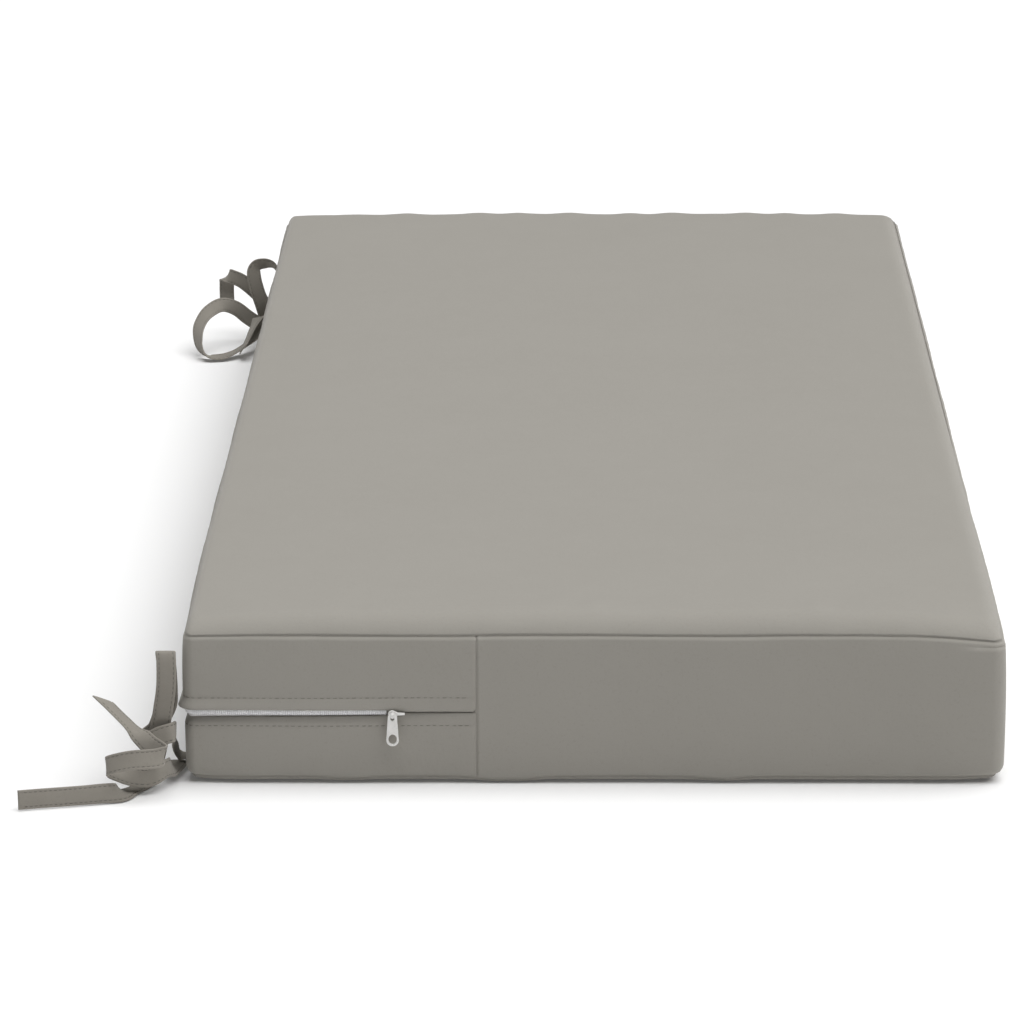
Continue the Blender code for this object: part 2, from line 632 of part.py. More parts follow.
def build_puller(material):
    bm = bmesh.new()
    outline = []
    top = PULL_TOP_Z - PULL_HALF_TOP
    end = PULL_TOP_Z - PULL_LENGTH + PULL_HALF_END
    steps = ROUND_STEPS // 2
    for i in range(steps + 1):
        turn = math.pi * i / steps
        outline.append((PULL_X + PULL_HALF_TOP * math.cos(turn), top + PULL_HALF_TOP * math.sin(turn)))
    for i in range(steps + 1):
        turn = math.pi + math.pi * i / steps
        outline.append((PULL_X + PULL_HALF_END * math.cos(turn), end + PULL_HALF_END * math.sin(turn)))
    y_back = FACE_Y - BODY_THICK - PULL_GAP
    rounded_plate(bm, outline, y_back - PULL_THICK, y_back)
    plate = finish_object("zip_puller", bm, material, 30.0)
    cuts = (
        ("post_hole", POST_HOLE_R, POST_HOLE_R, PULL_TOP_Z - 0.0035),
        ("eye", EYE_HALF_X, EYE_HALF_Z, PULL_TOP_Z - PULL_LENGTH + EYE_FROM_END),
    )
    for name, half_x, half_z, z in cuts:
        cutter_bm = bmesh.new()
        hole = [(PULL_X + half_x * math.cos(2 * math.pi * i / ROUND_STEPS),
                 z + half_z * math.sin(2 * math.pi * i / ROUND_STEPS)) for i in range(ROUND_STEPS)]
        rounded_plate(cutter_bm, hole, y_back - 0.003, y_back + 0.003)
        cutter = finish_object(name + "_cutter", cutter_bm, material)
        cutter.hide_render = True
        cutter.display_type = "WIRE"
        cut = plate.modifiers.new(name, "BOOLEAN")
        cut.operation = "DIFFERENCE"
        cut.object = cutter
    return plate


# ---- straps ----

def spline(rows, steps):
    """Smooth curve through the rows, a centripetal Catmull-Rom spline."""
    points = [[float(value) for value in row] for row in rows]
    first = [2 * a - b for a, b in zip(points[0], points[1])]
    last = [2 * a - b for a, b in zip(points[-1], points[-2])]
    padded = [first] + points + [last]

    def mix(a, b, t, ta, tb):
        return [((tb - t) * x + (t - ta) * y) / (tb - ta) for x, y in zip(a, b)]

    result = []
    for i in range(1, len(padded) - 2):
        p = padded[i - 1:i + 3]
        times = [0.0]
        for a, b in zip(p, p[1:]):
            times.append(times[-1] + max(math.dist(a[:3], b[:3]), 1e-6) ** 0.5)
        t0, t1, t2, t3 = times
        for k in range(steps[i - 1]):
            t = t1 + (t2 - t1) * k / steps[i - 1]
            a1, a2, a3 = mix(p[0], p[1], t, t0, t1), mix(p[1], p[2], t, t1, t2), mix(p[2], p[3], t, t2, t3)
            b1, b2 = mix(a1, a2, t, t0, t2), mix(a2, a3, t, t1, t3)
            result.append(mix(b1, b2, t, t1, t2))
    result.append(points[-1])
    return result


def strap_frames(rows):
    """Middle point, across and face directions at each step of a strap."""
    steps = [max(1, round(math.dist(a[:3], b[:3]) / STRAP_STEP)) for a, b in zip(rows, rows[1:])]
    curve = spline(rows, steps)
    middles = [Vector(point[:3]) for point in curve]
    frames = []
    for i, point in enumerate(curve):
        along = (middles[min(i + 1, len(curve) - 1)] - middles[max(i - 1, 0)]).normalized()
        across = Vector(point[3:])
        across = (across - along * across.dot(along)).normalized()
        frames.append((middles[i], across, along.cross(across)))
    return frames


def strap_faces(bm, first, second):
    """Joins two sections. Both flat faces are split along the same diagonal, so that a
    twisted step keeps its thickness."""
    for i, j, lean in ((0, 1, True), (1, 2, True), (2, 3, False), (3, 0, True)):
        a, b, c, d = first[i], first[j], second[j], second[i]
        if lean:
            triangles = ((a, b, c), (a, c, d))
        else:
            triangles = ((a, b, d), (b, c, d))
        for triangle in triangles:
            bm.faces.new(triangle)


def build_strap(name, rows, material, slant=0.0):
    bm = bmesh.new()
    sections = []
    frames = strap_frames(rows)
    for i, (middle, across, face) in enumerate(frames):
        along = across.cross(face)
        section = []
        for side, front in ((-1, -1), (1, -1), (1, 1), (-1, 1)):
            corner = middle + across * side * STRAP_WIDTH / 2 + face * front * STRAP_THICK / 2
            left = len(frames) - 1 - i
            if left < SLANT_STEPS:
                corner = corner + along * side * slant * (1 - left / SLANT_STEPS)
            section.append(bm.verts.new(corner))
        sections.append(section)
    for first, second in zip(sections, sections[1:]):
        strap_faces(bm, first, second)
    bm.faces.new(list(reversed(sections[0])))
    bm.faces.new(sections[-1])
    return finish_object(name, bm, material, 40.0)


def main():
    clear_scene()
    cover = make_material("cover", GREY, 0.9)
    tie = make_material("tie", GREY_TIE, 0.9)
    coil = make_material("zip_coil", WHITE, 0.5)
    metal = make_material("zip_metal", WHITE, 0.35)
    build_cushion(cover)
    build_coil(coil)
    build_slider(metal)
    build_puller(metal)
    build_strap("tie_near_loop", NEAR_LOOP_ROUTE, tie)
    build_strap("tie_near_tail", NEAR_TAIL_ROUTE, tie, -SLANT)
    build_strap("tie_far_bow", FAR_BOW_ROUTE, tie)
    build_strap("tie_far_loops", FAR_LOOPS_ROUTE, tie)


main()
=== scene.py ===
# Bench cushion with a zip round one long side and two pairs of cloth ties.
# Metres, +Z up. It lies on the floor, its length runs along Y, zip and ties are on the -X side.

import bisect
import math

import bmesh
import bpy
from mathutils import Matrix, Vector, noise


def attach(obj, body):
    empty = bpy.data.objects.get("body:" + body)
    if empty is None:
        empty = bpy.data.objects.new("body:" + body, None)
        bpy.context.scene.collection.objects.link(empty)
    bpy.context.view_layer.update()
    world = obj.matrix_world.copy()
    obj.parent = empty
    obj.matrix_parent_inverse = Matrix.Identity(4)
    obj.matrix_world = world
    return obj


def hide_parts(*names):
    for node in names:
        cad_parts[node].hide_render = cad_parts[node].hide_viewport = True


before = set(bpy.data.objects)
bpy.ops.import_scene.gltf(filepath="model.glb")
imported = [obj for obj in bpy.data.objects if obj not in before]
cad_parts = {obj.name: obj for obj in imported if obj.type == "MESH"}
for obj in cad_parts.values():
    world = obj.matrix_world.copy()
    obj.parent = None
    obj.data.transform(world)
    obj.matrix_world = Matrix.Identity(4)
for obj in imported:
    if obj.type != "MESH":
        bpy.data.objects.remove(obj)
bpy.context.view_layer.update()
print("frame loaded:", ", ".join(sorted(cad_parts)))


# Small helpers.

def smoothStep(value):
    value = min(max(value, 0.0), 1.0)
    return value * value * (3.0 - 2.0 * value)


def bell(distance, halfWidth):
    return math.exp(-(distance / halfWidth) ** 2)


# Straight lines between the rows (x, value).
def alongTable(table, x):
    if x <= table[0][0]:
        return table[0][1]
    for (x0, v0), (x1, v1) in zip(table, table[1:]):
        if x <= x1:
            return v0 + (v1 - v0) * (x - x0) / (x1 - x0)
    return table[-1][1]


# Smooth noise from -1 to 1, one wave about every size metres.
def wander(place, size, seed=0.0):
    x, y, z = (value / size for value in place)
    return noise.noise(Vector((x + seed, y - seed, z + 2 * seed)))


# The two points of a line beside a length, and the share between them.
# Each point ends with the length so far.
def stepAt(line, gone):
    step = bisect.bisect_right(line, gone, key=lambda point: point[-1]) - 1
    step = min(max(step, 0), len(line) - 2)
    before, after = line[step], line[step + 1]
    return before, after, (gone - before[-1]) / max(after[-1] - before[-1], 1e-9)


def makeObject(name, bm, material, smooth=True):
    bmesh.ops.recalc_face_normals(bm, faces=bm.faces)
    mesh = bpy.data.meshes.new(name)
    bm.to_mesh(mesh)
    bm.free()
    if smooth:
        mesh.shade_smooth()
    mesh.materials.append(material)
    thing = bpy.data.objects.new(name, mesh)
    bpy.context.collection.objects.link(thing)
    return thing


def joinRings(bm, lower, upper):
    for i in range(len(lower)):
        j = (i + 1) % len(lower)
        bm.faces.new((lower[i], lower[j], upper[j], upper[i]))


# Joins rings that follow each other and closes both ends.
def skinTube(bm, rings):
    for first, second in zip(rings, rings[1:]):
        joinRings(bm, first, second)
    bm.faces.new(list(reversed(rings[0])))
    bm.faces.new(rings[-1])


# Ring of points round a place, from its two half axes.
def addRing(bm, place, first, second, steps):
    turns = [2 * math.pi * k / steps for k in range(steps)]
    return [bm.verts.new(place + first * math.cos(turn) + second * math.sin(turn)) for turn in turns]


# A short thread through the points of spine, each with two directions across it. It thins at its ends.
def addThread(bm, spine, radius):
    rings = []
    for i, (place, first, second) in enumerate(spine):
        t = 2 * i / (len(spine) - 1) - 1
        size = radius * math.sqrt(max(1 - 0.75 * t * t, 0.1))
        rings.append(addRing(bm, place, first * size, second * size, 5))
    skinTube(bm, rings)


# Camera.

cameraSetup = {
    "place": (-0.0022, -3.6532, 1.0012),
    "down": 15.219,      # degrees below level
    "yaw": -0.855,
    "roll": -0.219,
    "lens": 185.75,      # long, in mm, for a sensor of this width
    "sensor": 36.0,
    "reach": 50.0,       # how far it sees
}


def makeCamera(setup):
    down, yaw, roll = (math.radians(setup[key]) for key in ("down", "yaw", "roll"))
    ahead = Vector((math.sin(yaw) * math.cos(down), math.cos(yaw) * math.cos(down), -math.sin(down)))
    level = ahead.cross(Vector((0, 0, 1))).normalized()
    upright = level.cross(ahead)
    right = level * math.cos(roll) + upright * math.sin(roll)
    up = upright * math.cos(roll) - level * math.sin(roll)
    data = bpy.data.cameras.new("camera")
    data.lens = setup["lens"]
    data.sensor_width = setup["sensor"]
    data.clip_end = setup["reach"]
    camera = bpy.data.objects.new("camera", data)
    turn = Matrix((right, up, -ahead)).transposed().to_4x4()
    turn.translation = Vector(setup["place"])
    camera.matrix_world = turn
    bpy.context.collection.objects.link(camera)
    bpy.context.scene.camera = camera


makeCamera(cameraSetup)
print("camera set")


# Materials.

def startMaterial(name):
    material = bpy.data.materials.new(name)
    material.use_nodes = True
    tree = material.node_tree
    spot = tree.nodes.new("ShaderNodeTexCoord")
    return material, tree, tree.nodes["Principled BSDF"], spot


# Another node's socket is linked, a number or a colour is set.
def setInputs(tree, node, inputs):
    for name, value in inputs.items():
        socket = node.inputs[name]
        if isinstance(value, bpy.types.NodeSocket):
            tree.links.new(value, socket)
        elif isinstance(value, tuple):
            socket.default_value = (*value, 1.0)
        else:
            socket.default_value = value


def addNode(tree, kind, inputs, **settings):
    node = tree.nodes.new(kind)
    for setting, value in settings.items():
        setattr(node, setting, value)
    setInputs(tree, node, inputs)
    return node


# Colour between two others; share is a socket.
def mixColours(tree, share, first, second):
    mix = addNode(tree, "ShaderNodeMix", {"Factor": share, 6: first, 7: second}, data_type="RGBA")
    return mix.outputs[2]


# Maps low..high to toLow..toHigh and stops at the ends.
def spread(tree, socket, low, high, toLow=0.0, toHigh=1.0):
    inputs = {"Value": socket, "From Min": low, "From Max": high, "To Min": toLow, "To Max": toHigh}
    return addNode(tree, "ShaderNodeMapRange", inputs).outputs["Result"]


def noiseField(tree, place, size, detail=2.0, rough=0.5):
    inputs = {"Vector": place, "Scale": 1.0 / size, "Detail": detail, "Roughness": rough}
    return addNode(tree, "ShaderNodeTexNoise", inputs).outputs["Fac"]


bandLength = 0.31416     # one wave of the bands texture at scale 1


# Rows of threads in one direction.
def threads(tree, place, pitch, direction, wobble):
    inputs = {"Vector": place, "Scale": bandLength / pitch, "Distortion": wobble, "Detail": 1.0,
              "Detail Scale": 1.5}
    wave = addNode(tree, "ShaderNodeTexWave", inputs, wave_type="BANDS", bands_direction=direction,
                   wave_profile="SIN")
    return wave.outputs["Fac"]


def calculate(tree, operation, first, second):
    return addNode(tree, "ShaderNodeMath", {0: first, 1: second}, operation=operation).outputs[0]


def bumpOn(tree, height, strength, distance, before=None):
    inputs = {"Height": height, "Strength": strength, "Distance": distance}
    if before is not None:
        inputs["Normal"] = before
    return addNode(tree, "ShaderNodeBump", inputs).outputs["Normal"]


coverCloth = {
    "colour": (0.337, 0.321, 0.289),
    "darker": (0.330, 0.314, 0.282),    # in the mottling
    "lighter": (0.345, 0.329, 0.297),
    "shadow": (0.254, 0.241, 0.214),    # between the threads
    "threadPitch": 0.00052,
    "weaveDepth": 0.00010,
    "nubDepth": 0.00035,
    "roughness": 0.88,
    "sheen": 0.25,
}

tieCloth = {
    "colour": (0.302, 0.281, 0.245),
    "darker": (0.272, 0.252, 0.219),
    "lighter": (0.334, 0.312, 0.274),
    "shadow": (0.202, 0.187, 0.162),
    "threadPitch": 0.00050,
    "weaveDepth": 0.00010,
    "nubDepth": 0.00020,
    "roughness": 0.90,
    "sheen": 0.20,
}

# What both cloths share: sizes of their unevenness and the way their fibres catch the light.
clothGrain = {
    "cloudSize": 0.090,
    "patchSize": 0.014,
    "fleckSize": 0.0016,
    "nubSize": 0.0045,
    "threadWobble": 0.6,
    "gloss": 0.25,            # cloth hardly shines
    "sheenRoughness": 0.55,
    "sheenTint": (0.95, 0.93, 0.90),
}


# Rows of threads along all three axes; each shows only on faces that it lies along.
def weaveByFacing(tree, spot, pitch):
    facing = addNode(tree, "ShaderNodeSeparateXYZ", {0: spot.outputs["Normal"]})
    weave = 0.0
    for way in ("X", "Y", "Z"):
        across = calculate(tree, "MULTIPLY", facing.outputs[way], facing.outputs[way])
        along = calculate(tree, "SUBTRACT", 1.0, across)
        row = threads(tree, spot.outputs["Object"], pitch, way, clothGrain["threadWobble"])
        weave = calculate(tree, "ADD", weave, calculate(tree, "MULTIPLY", row, along))
    return calculate(tree, "MULTIPLY", weave, 0.5)


# Warp and weft along the piece's own lay (its UV map, in metres).
def weaveByLay(tree, pitch):
    lay = addNode(tree, "ShaderNodeUVMap", {}, uv_map="lay").outputs["UV"]
    warp, weft = (threads(tree, lay, pitch, way, clothGrain["threadWobble"]) for way in ("X", "Y"))
    return calculate(tree, "MULTIPLY", warp, weft)


# Plain close weave with soft mottling.
def makeCloth(name, cloth, useLay=False):
    material, tree, shader, spot = startMaterial(name)
    place = spot.outputs["Object"]
    pitch = cloth["threadPitch"]
    weave = weaveByLay(tree, pitch) if useLay else weaveByFacing(tree, spot, pitch)
    cloud = noiseField(tree, place, clothGrain["cloudSize"], 3.0, 0.55)
    patch = noiseField(tree, place, clothGrain["patchSize"], 3.0, 0.60)
    fleck = noiseField(tree, place, clothGrain["fleckSize"], 2.0, 0.60)
    nubs = noiseField(tree, place, clothGrain["nubSize"], 3.0, 0.65)
    tone = mixColours(tree, spread(tree, cloud, 0.30, 0.70), cloth["darker"], cloth["colour"])
    tone = mixColours(tree, spread(tree, patch, 0.42, 0.80, 0.0, 0.55), tone, cloth["lighter"])
    tone = mixColours(tree, spread(tree, fleck, 0.56, 0.80, 0.0, 0.30), tone, cloth["shadow"])
    tone = mixColours(tree, spread(tree, weave, 0.10, 0.50, 0.25, 0.0), tone, cloth["shadow"])
    dull = cloth["roughness"]
    normal = bumpOn(tree, nubs, 0.45, cloth["nubDepth"])
    setInputs(tree, shader, {
        "Base Color": tone,
        "Roughness": spread(tree, patch, 0.30, 0.70, dull - 0.05, dull + 0.06),
        "Specular IOR Level": clothGrain["gloss"],
        "Sheen Weight": cloth["sheen"],
        "Sheen Roughness": clothGrain["sheenRoughness"],
        "Sheen Tint": clothGrain["sheenTint"],
        "Normal": bumpOn(tree, weave, 0.60, cloth["weaveDepth"], normal),
    })
    return material


# The cover's topstitching thread is darker than the cloth: partly the thread's own tone, partly painted shade
# of the dents it lies in.
coverThread = {"colour": (0.225, 0.212, 0.185), "shadow": (0.150, 0.140, 0.120)}
tieThread = {"colour": (0.150, 0.139, 0.120), "shadow": (0.100, 0.092, 0.080)}


def makeThread(name, look):
    material, tree, shader, spot = startMaterial(name)
    ply = noiseField(tree, spot.outputs["Object"], 0.0009, 2.0, 0.6)
    setInputs(tree, shader, {
        "Base Color": mixColours(tree, spread(tree, ply, 0.35, 0.65), look["shadow"], look["colour"]),
        "Roughness": 0.75,
        "Normal": bumpOn(tree, ply, 0.5, 0.0001),
    })
    return material


whiteTape = {"colour": (0.83, 0.82, 0.82), "greyer": (0.74, 0.73, 0.73), "ribPitch": 0.0006}


def makeWhiteTape(name, look):
    material, tree, shader, spot = startMaterial(name)
    ribs = threads(tree, spot.outputs["Object"], look["ribPitch"], "X", 0.3)
    cloud = noiseField(tree, spot.outputs["Object"], 0.006)
    setInputs(tree, shader, {
        "Base Color": mixColours(tree, spread(tree, cloud, 0.3, 0.7), look["greyer"], look["colour"]),
        "Roughness": 0.80,
        "Normal": bumpOn(tree, ribs, 0.5, 0.00008),
    })
    return material


coilPlastic = {"colour": (0.92, 0.92, 0.93), "greyer": (0.86, 0.86, 0.88), "roughness": (0.34, 0.46)}


def makeCoilPlastic(name, look):
    material, tree, shader, spot = startMaterial(name)
    haze = noiseField(tree, spot.outputs["Object"], 0.004)
    setInputs(tree, shader, {
        "Base Color": mixColours(tree, spread(tree, haze, 0.3, 0.7), look["greyer"], look["colour"]),
        "Roughness": spread(tree, haze, 0.3, 0.7, *look["roughness"]),
    })
    return material


# White enamelled die-cast metal, a little uneven, greyer where it is handled.
enamel = {
    "colour": (0.84, 0.83, 0.81),
    "handled": (0.76, 0.75, 0.73),
    "roughness": (0.24, 0.40),
    "coat": 0.25,
    "coatRoughness": 0.15,
}


def makeEnamel(name, look):
    material, tree, shader, spot = startMaterial(name)
    skin = noiseField(tree, spot.outputs["Object"], 0.0022, 3.0, 0.55)
    wear = noiseField(tree, spot.outputs["Object"], 0.0060)
    setInputs(tree, shader, {
        "Base Color": mixColours(tree, spread(tree, wear, 0.35, 0.75), look["colour"], look["handled"]),
        "Roughness": spread(tree, skin, 0.3, 0.7, *look["roughness"]),
        "Coat Weight": look["coat"],
        "Coat Roughness": look["coatRoughness"],
        "Normal": bumpOn(tree, skin, 0.25, 0.00006),
    })
    return material


coverMaterial = makeCloth("cover_cloth", coverCloth)
tieMaterial = makeCloth("tie_cloth", tieCloth, useLay=True)
threadMaterial = makeThread("cover_thread", coverThread)
tieThreadMaterial = makeThread("tie_thread", tieThread)
tapeMaterial = makeWhiteTape("zip_tape", whiteTape)
coilMaterial = makeCoilPlastic("zip_coil_plastic", coilPlastic)
enamelMaterial = makeEnamel("zip_enamel", enamel)
print("materials made")


# Cloth ties.

tieSizes = {
    "width": 0.0120,
    "thick": 0.0011,
    "step": 0.0013,           # spacing along the strap
    "slant": 0.0045,          # how far the slant-cut end runs on at one edge
    "slantReach": 0.012,
    "curl": 0.00035,          # edges curl up this much
    "curlFlat": 0.35,         # and the middle down by this share of it
    "ripple": 0.00022,        # unevenness of the faces, and the length of its waves
    "rippleLength": 0.011,
    "edgeWander": 0.018,      # unevenness of the edges, as a share of the half width
    "edgeLength": 0.016,
    "hem": 0.0017,            # stitching this far in from each edge
    "stitchPitch": 0.0030,
    "stitchHalf": 0.36,       # half a stitch, as a share of the pitch
    "stitchRadius": 0.00020,
    "stitchStand": (0.88, 0.45),   # how far a stitch stands out, and drops at its ends, in half thicknesses
    "endGap": 0.0030,         # no stitches this close to an end
}

# Rows of a strap: x, y, z of its middle line, then x, y, z of the direction across it.
nearLoopRoute = (
    (-0.2476, -0.5680, 0.0066, 0.00, 1.00, 0.00),   # sewn into the bottom seam
    (-0.2516, -0.5684, 0.0078, 0.00, 1.00, 0.03),
    (-0.2536, -0.5737, 0.0130, 0.00, 0.95, 0.32),
    (-0.2545, -0.5830, 0.0205, 0.00, 0.80, 0.60),
    (-0.2542, -0.5920, 0.0275, 0.00, 0.74, 0.66),
    (-0.2522, -0.6022, 0.0336, 0.00, 0.70, 0.71),
    (-0.2535, -0.6108, 0.0352, -0.10, 0.35, 0.93),  # wraps the foot of the loop
    (-0.2604, -0.6120, 0.0334, -0.25, 0.20, 0.94),
    (-0.2670, -0.6116, 0.0302, -0.25, 0.10, 0.95),
    (-0.2734, -0.6075, 0.0284, -0.12, 0.00, 0.99),
    (-0.2702, -0.6012, 0.0293, -0.30, 0.00, 0.93),
    (-0.2644, -0.5982, 0.0330, -0.60, 0.00, 0.80),
    (-0.2603, -0.5962, 0.0418, -0.95, 0.00, 0.30),
    (-0.2572, -0.5958, 0.0490, -1.00, 0.00, 0.12),  # back of the standing loop
    (-0.2568, -0.5955, 0.0580, -1.00, 0.00, 0.00),
    (-0.2572, -0.5962, 0.0730, -1.00, 0.05, 0.00),
    (-0.2577, -0.5988, 0.0820, -1.00, 0.05, 0.00),
    (-0.2570, -0.6030, 0.0836, -1.00, 0.02, 0.00),  # top of the loop
    (-0.2566, -0.6058, 0.0780, -1.00, 0.00, 0.00),
    (-0.2570, -0.6063, 0.0630, -1.00, 0.00, 0.00),
    (-0.2590, -0.6060, 0.0490, -1.00, 0.00, 0.02),
    (-0.2608, -0.6056, 0.0380, -1.00, 0.00, 0.00),
    (-0.2624, -0.6052, 0.0280, -1.00, 0.00, 0.00),
    (-0.2652, -0.6048, 0.0160, -1.00, 0.00, 0.10),
    (-0.2693, -0.6055, 0.0050, -1.00, 0.10, 0.10),
    (-0.2735, -0.6115, 0.0013, -0.95, 0.30, 0.02),  # flat under the ring
    (-0.2778, -0.6195, 0.0015, -0.93, 0.35, 0.04),
    (-0.2804, -0.6268, 0.0026, -0.90, 0.38, 0.18),
    (-0.2823, -0.6338, 0.0045, -0.66, 0.40, 0.63),
    (-0.2862, -0.6388, 0.0062, -0.30, 0.25, 0.92),  # long end, standing on its edge
    (-0.2935, -0.6420, 0.0068, -0.10, 0.18, 0.97),
    (-0.3010, -0.6442, 0.0068, -0.05, 0.15, 0.98),
    (-0.3160, -0.6482, 0.0068, 0.00, 0.12, 0.99),
    (-0.3300, -0.6515, 0.0068, 0.00, 0.12, 0.99),
    (-0.3430, -0.6550, 0.0068, 0.00, 0.12, 0.99),
)
nearTailRoute = (
    (-0.2530, -0.5690, 0.0040, -1.00, 0.00, 0.00),  # sewn under the other strap
    (-0.2540, -0.5770, 0.0043, -0.99, 0.05, 0.10),
    (-0.2552, -0.5846, 0.0054, -0.95, 0.10, 0.30),
    (-0.2554, -0.5915, 0.0074, -0.80, 0.10, 0.60),
    (-0.2546, -0.5990, 0.0098, -0.50, 0.05, 0.86),
    (-0.2549, -0.6070, 0.0122, -0.15, 0.30, 0.94),
    (-0.2569, -0.6136, 0.0134, 0.15, 0.45, 0.87),
    (-0.2608, -0.6186, 0.0126, 0.25, 0.40, 0.87),   # lower wall of the ring
    (-0.2675, -0.6225, 0.0108, 0.05, 0.40, 0.91),
    (-0.2765, -0.6250, 0.0120, -0.10, 0.42, 0.90),
    (-0.2850, -0.6282, 0.0158, -0.20, 0.42, 0.88),
    (-0.2909, -0.6322, 0.0200, -0.12, 0.40, 0.90),
    (-0.2905, -0.6380, 0.0229, -0.05, 0.38, 0.92),
    (-0.2835, -0.6410, 0.0258, 0.00, 0.36, 0.93),   # front wall of the ring
    (-0.2745, -0.6420, 0.0278, 0.00, 0.36, 0.93),
    (-0.2660, -0.6410, 0.0280, 0.03, 0.36, 0.93),
    (-0.2598, -0.6380, 0.0280, 0.15, 0.30, 0.93),
    (-0.2568, -0.6342, 0.0286, 0.20, 0.28, 0.94),
    (-0.2602, -0.6292, 0.0296, 0.34, 0.26, 0.90),   # folds back behind the ring
    (-0.2660, -0.6262, 0.0326, 0.52, 0.34, 0.78),
    (-0.2706, -0.6226, 0.0360, 0.46, 0.62, 0.62),
    (-0.2752, -0.6182, 0.0388, 0.26, 0.94, 0.16),   # short free end
    (-0.2826, -0.6122, 0.0442, 0.20, 0.97, 0.05),
    (-0.2896, -0.6068, 0.0494, 0.20, 0.97, 0.04),
    (-0.2955, -0.6024, 0.0536, 0.20, 0.97, 0.04),
)
farBowRoute = (
    (-0.2500, 0.5650, 0.0068, 0.00, 1.00, 0.00),    # sewn into the bottom seam
    (-0.2555, 0.5647, 0.0082, 0.00, 1.00, 0.00),
    (-0.2605, 0.5620, 0.0106, 0.25, 0.85, 0.35),
    (-0.2655, 0.5570, 0.0132, 0.42, 0.55, 0.65),
    (-0.2718, 0.5515, 0.0166, 0.50, 0.20, 0.80),
    (-0.2800, 0.5480, 0.0230, 0.50, 0.20, 0.80),
    (-0.2896, 0.5430, 0.0318, 0.35, 0.40, 0.80),
    (-0.3003, 0.5360, 0.0360, 0.02, 0.60, 0.80),    # top of the round loop
    (-0.3106, 0.5280, 0.0320, -0.30, 0.70, 0.62),
    (-0.3168, 0.5190, 0.0245, -0.48, 0.80, 0.30),
    (-0.3178, 0.5080, 0.0165, -0.50, 0.85, 0.00),
    (-0.3148, 0.4975, 0.0088, -0.40, 0.90, -0.05),
    (-0.3082, 0.4910, 0.0038, -0.30, 0.94, 0.05),   # the loop rests on the surface here
    (-0.2985, 0.4926, 0.0029, -0.30, 0.94, 0.12),
    (-0.2890, 0.4995, 0.0050, -0.58, 0.78, -0.15),
    (-0.2810, 0.5085, 0.0078, -0.68, 0.66, -0.27),
    (-0.2740, 0.5190, 0.0112, -0.76, 0.58, -0.24),
    (-0.2694, 0.5300, 0.0146, -0.88, 0.40, -0.10),
    (-0.2680, 0.5380, 0.0182, -0.92, 0.25, 0.00),
    (-0.2684, 0.5405, 0.0226, -0.92, 0.25, -0.05),
    (-0.2700, 0.5350, 0.0256, -0.82, 0.35, -0.30),
    (-0.2726, 0.5230, 0.0232, -0.66, 0.48, -0.52),  # short free end
    (-0.2764, 0.5060, 0.0172, -0.54, 0.55, -0.62),
    (-0.2806, 0.4890, 0.0100, -0.46, 0.57, -0.66),
)
farLoopsRoute = (
    (-0.2482, 0.5716, 0.0036, 0.00, 1.00, 0.00),    # sewn under the other strap
    (-0.2530, 0.5722, 0.0042, 0.00, 1.00, 0.10),
    (-0.2600, 0.5715, 0.0080, 0.30, 0.80, 0.50),
    (-0.2655, 0.5650, 0.0180, 0.80, 0.45, 0.35),
    (-0.2693, 0.5610, 0.0320, 0.93, 0.30, 0.15),    # first upright loop
    (-0.2729, 0.5604, 0.0435, 0.93, 0.32, 0.15),
    (-0.2750, 0.5610, 0.0530, 0.93, 0.34, 0.10),
    (-0.2752, 0.5625, 0.0585, 0.90, 0.42, -0.05),
    (-0.2725, 0.5645, 0.0625, 0.70, 0.55, -0.45),
    (-0.2675, 0.5665, 0.0634, 0.20, 0.60, -0.78),
    (-0.2620, 0.5685, 0.0618, 0.05, 0.70, -0.70),
    (-0.2572, 0.5710, 0.0570, 0.25, 0.88, -0.40),
    (-0.2552, 0.5740, 0.0500, 0.15, 0.98, -0.10),
    (-0.2544, 0.5760, 0.0420, 0.00, 1.00, 0.00),
    (-0.2544, 0.5765, 0.0340, 0.00, 1.00, 0.00),    # down beside the cushion
    (-0.2554, 0.5770, 0.0255, 0.00, 1.00, 0.00),
    (-0.2594, 0.5770, 0.0210, 0.00, 1.00, 0.00),
    (-0.2650, 0.5760, 0.0250, -0.25, 0.75, -0.60),
    (-0.2715, 0.5745, 0.0340, -0.50, 0.25, -0.83),  # second upright loop
    (-0.2790, 0.5730, 0.0422, -0.45, 0.00, -0.88),
    (-0.2870, 0.5730, 0.0482, -0.22, 0.00, -0.97),
    (-0.2930, 0.5734, 0.0507, -0.08, -0.05, -0.99),  # folded over at a slant
    (-0.2964, 0.5743, 0.0514, -0.25, -0.30, -0.92),
    (-0.2982, 0.5758, 0.0510, -0.60, -0.45, -0.66),
    (-0.2989, 0.5773, 0.0498, -0.86, -0.38, -0.34),
    (-0.2990, 0.5783, 0.0480, -0.97, -0.20, -0.10),
    (-0.2989, 0.5786, 0.0455, -1.00, 0.00, 0.00),
    (-0.2989, 0.5779, 0.0377, -1.00, 0.00, 0.00),
    (-0.2986, 0.5763, 0.0287, -1.00, 0.00, 0.00),
)


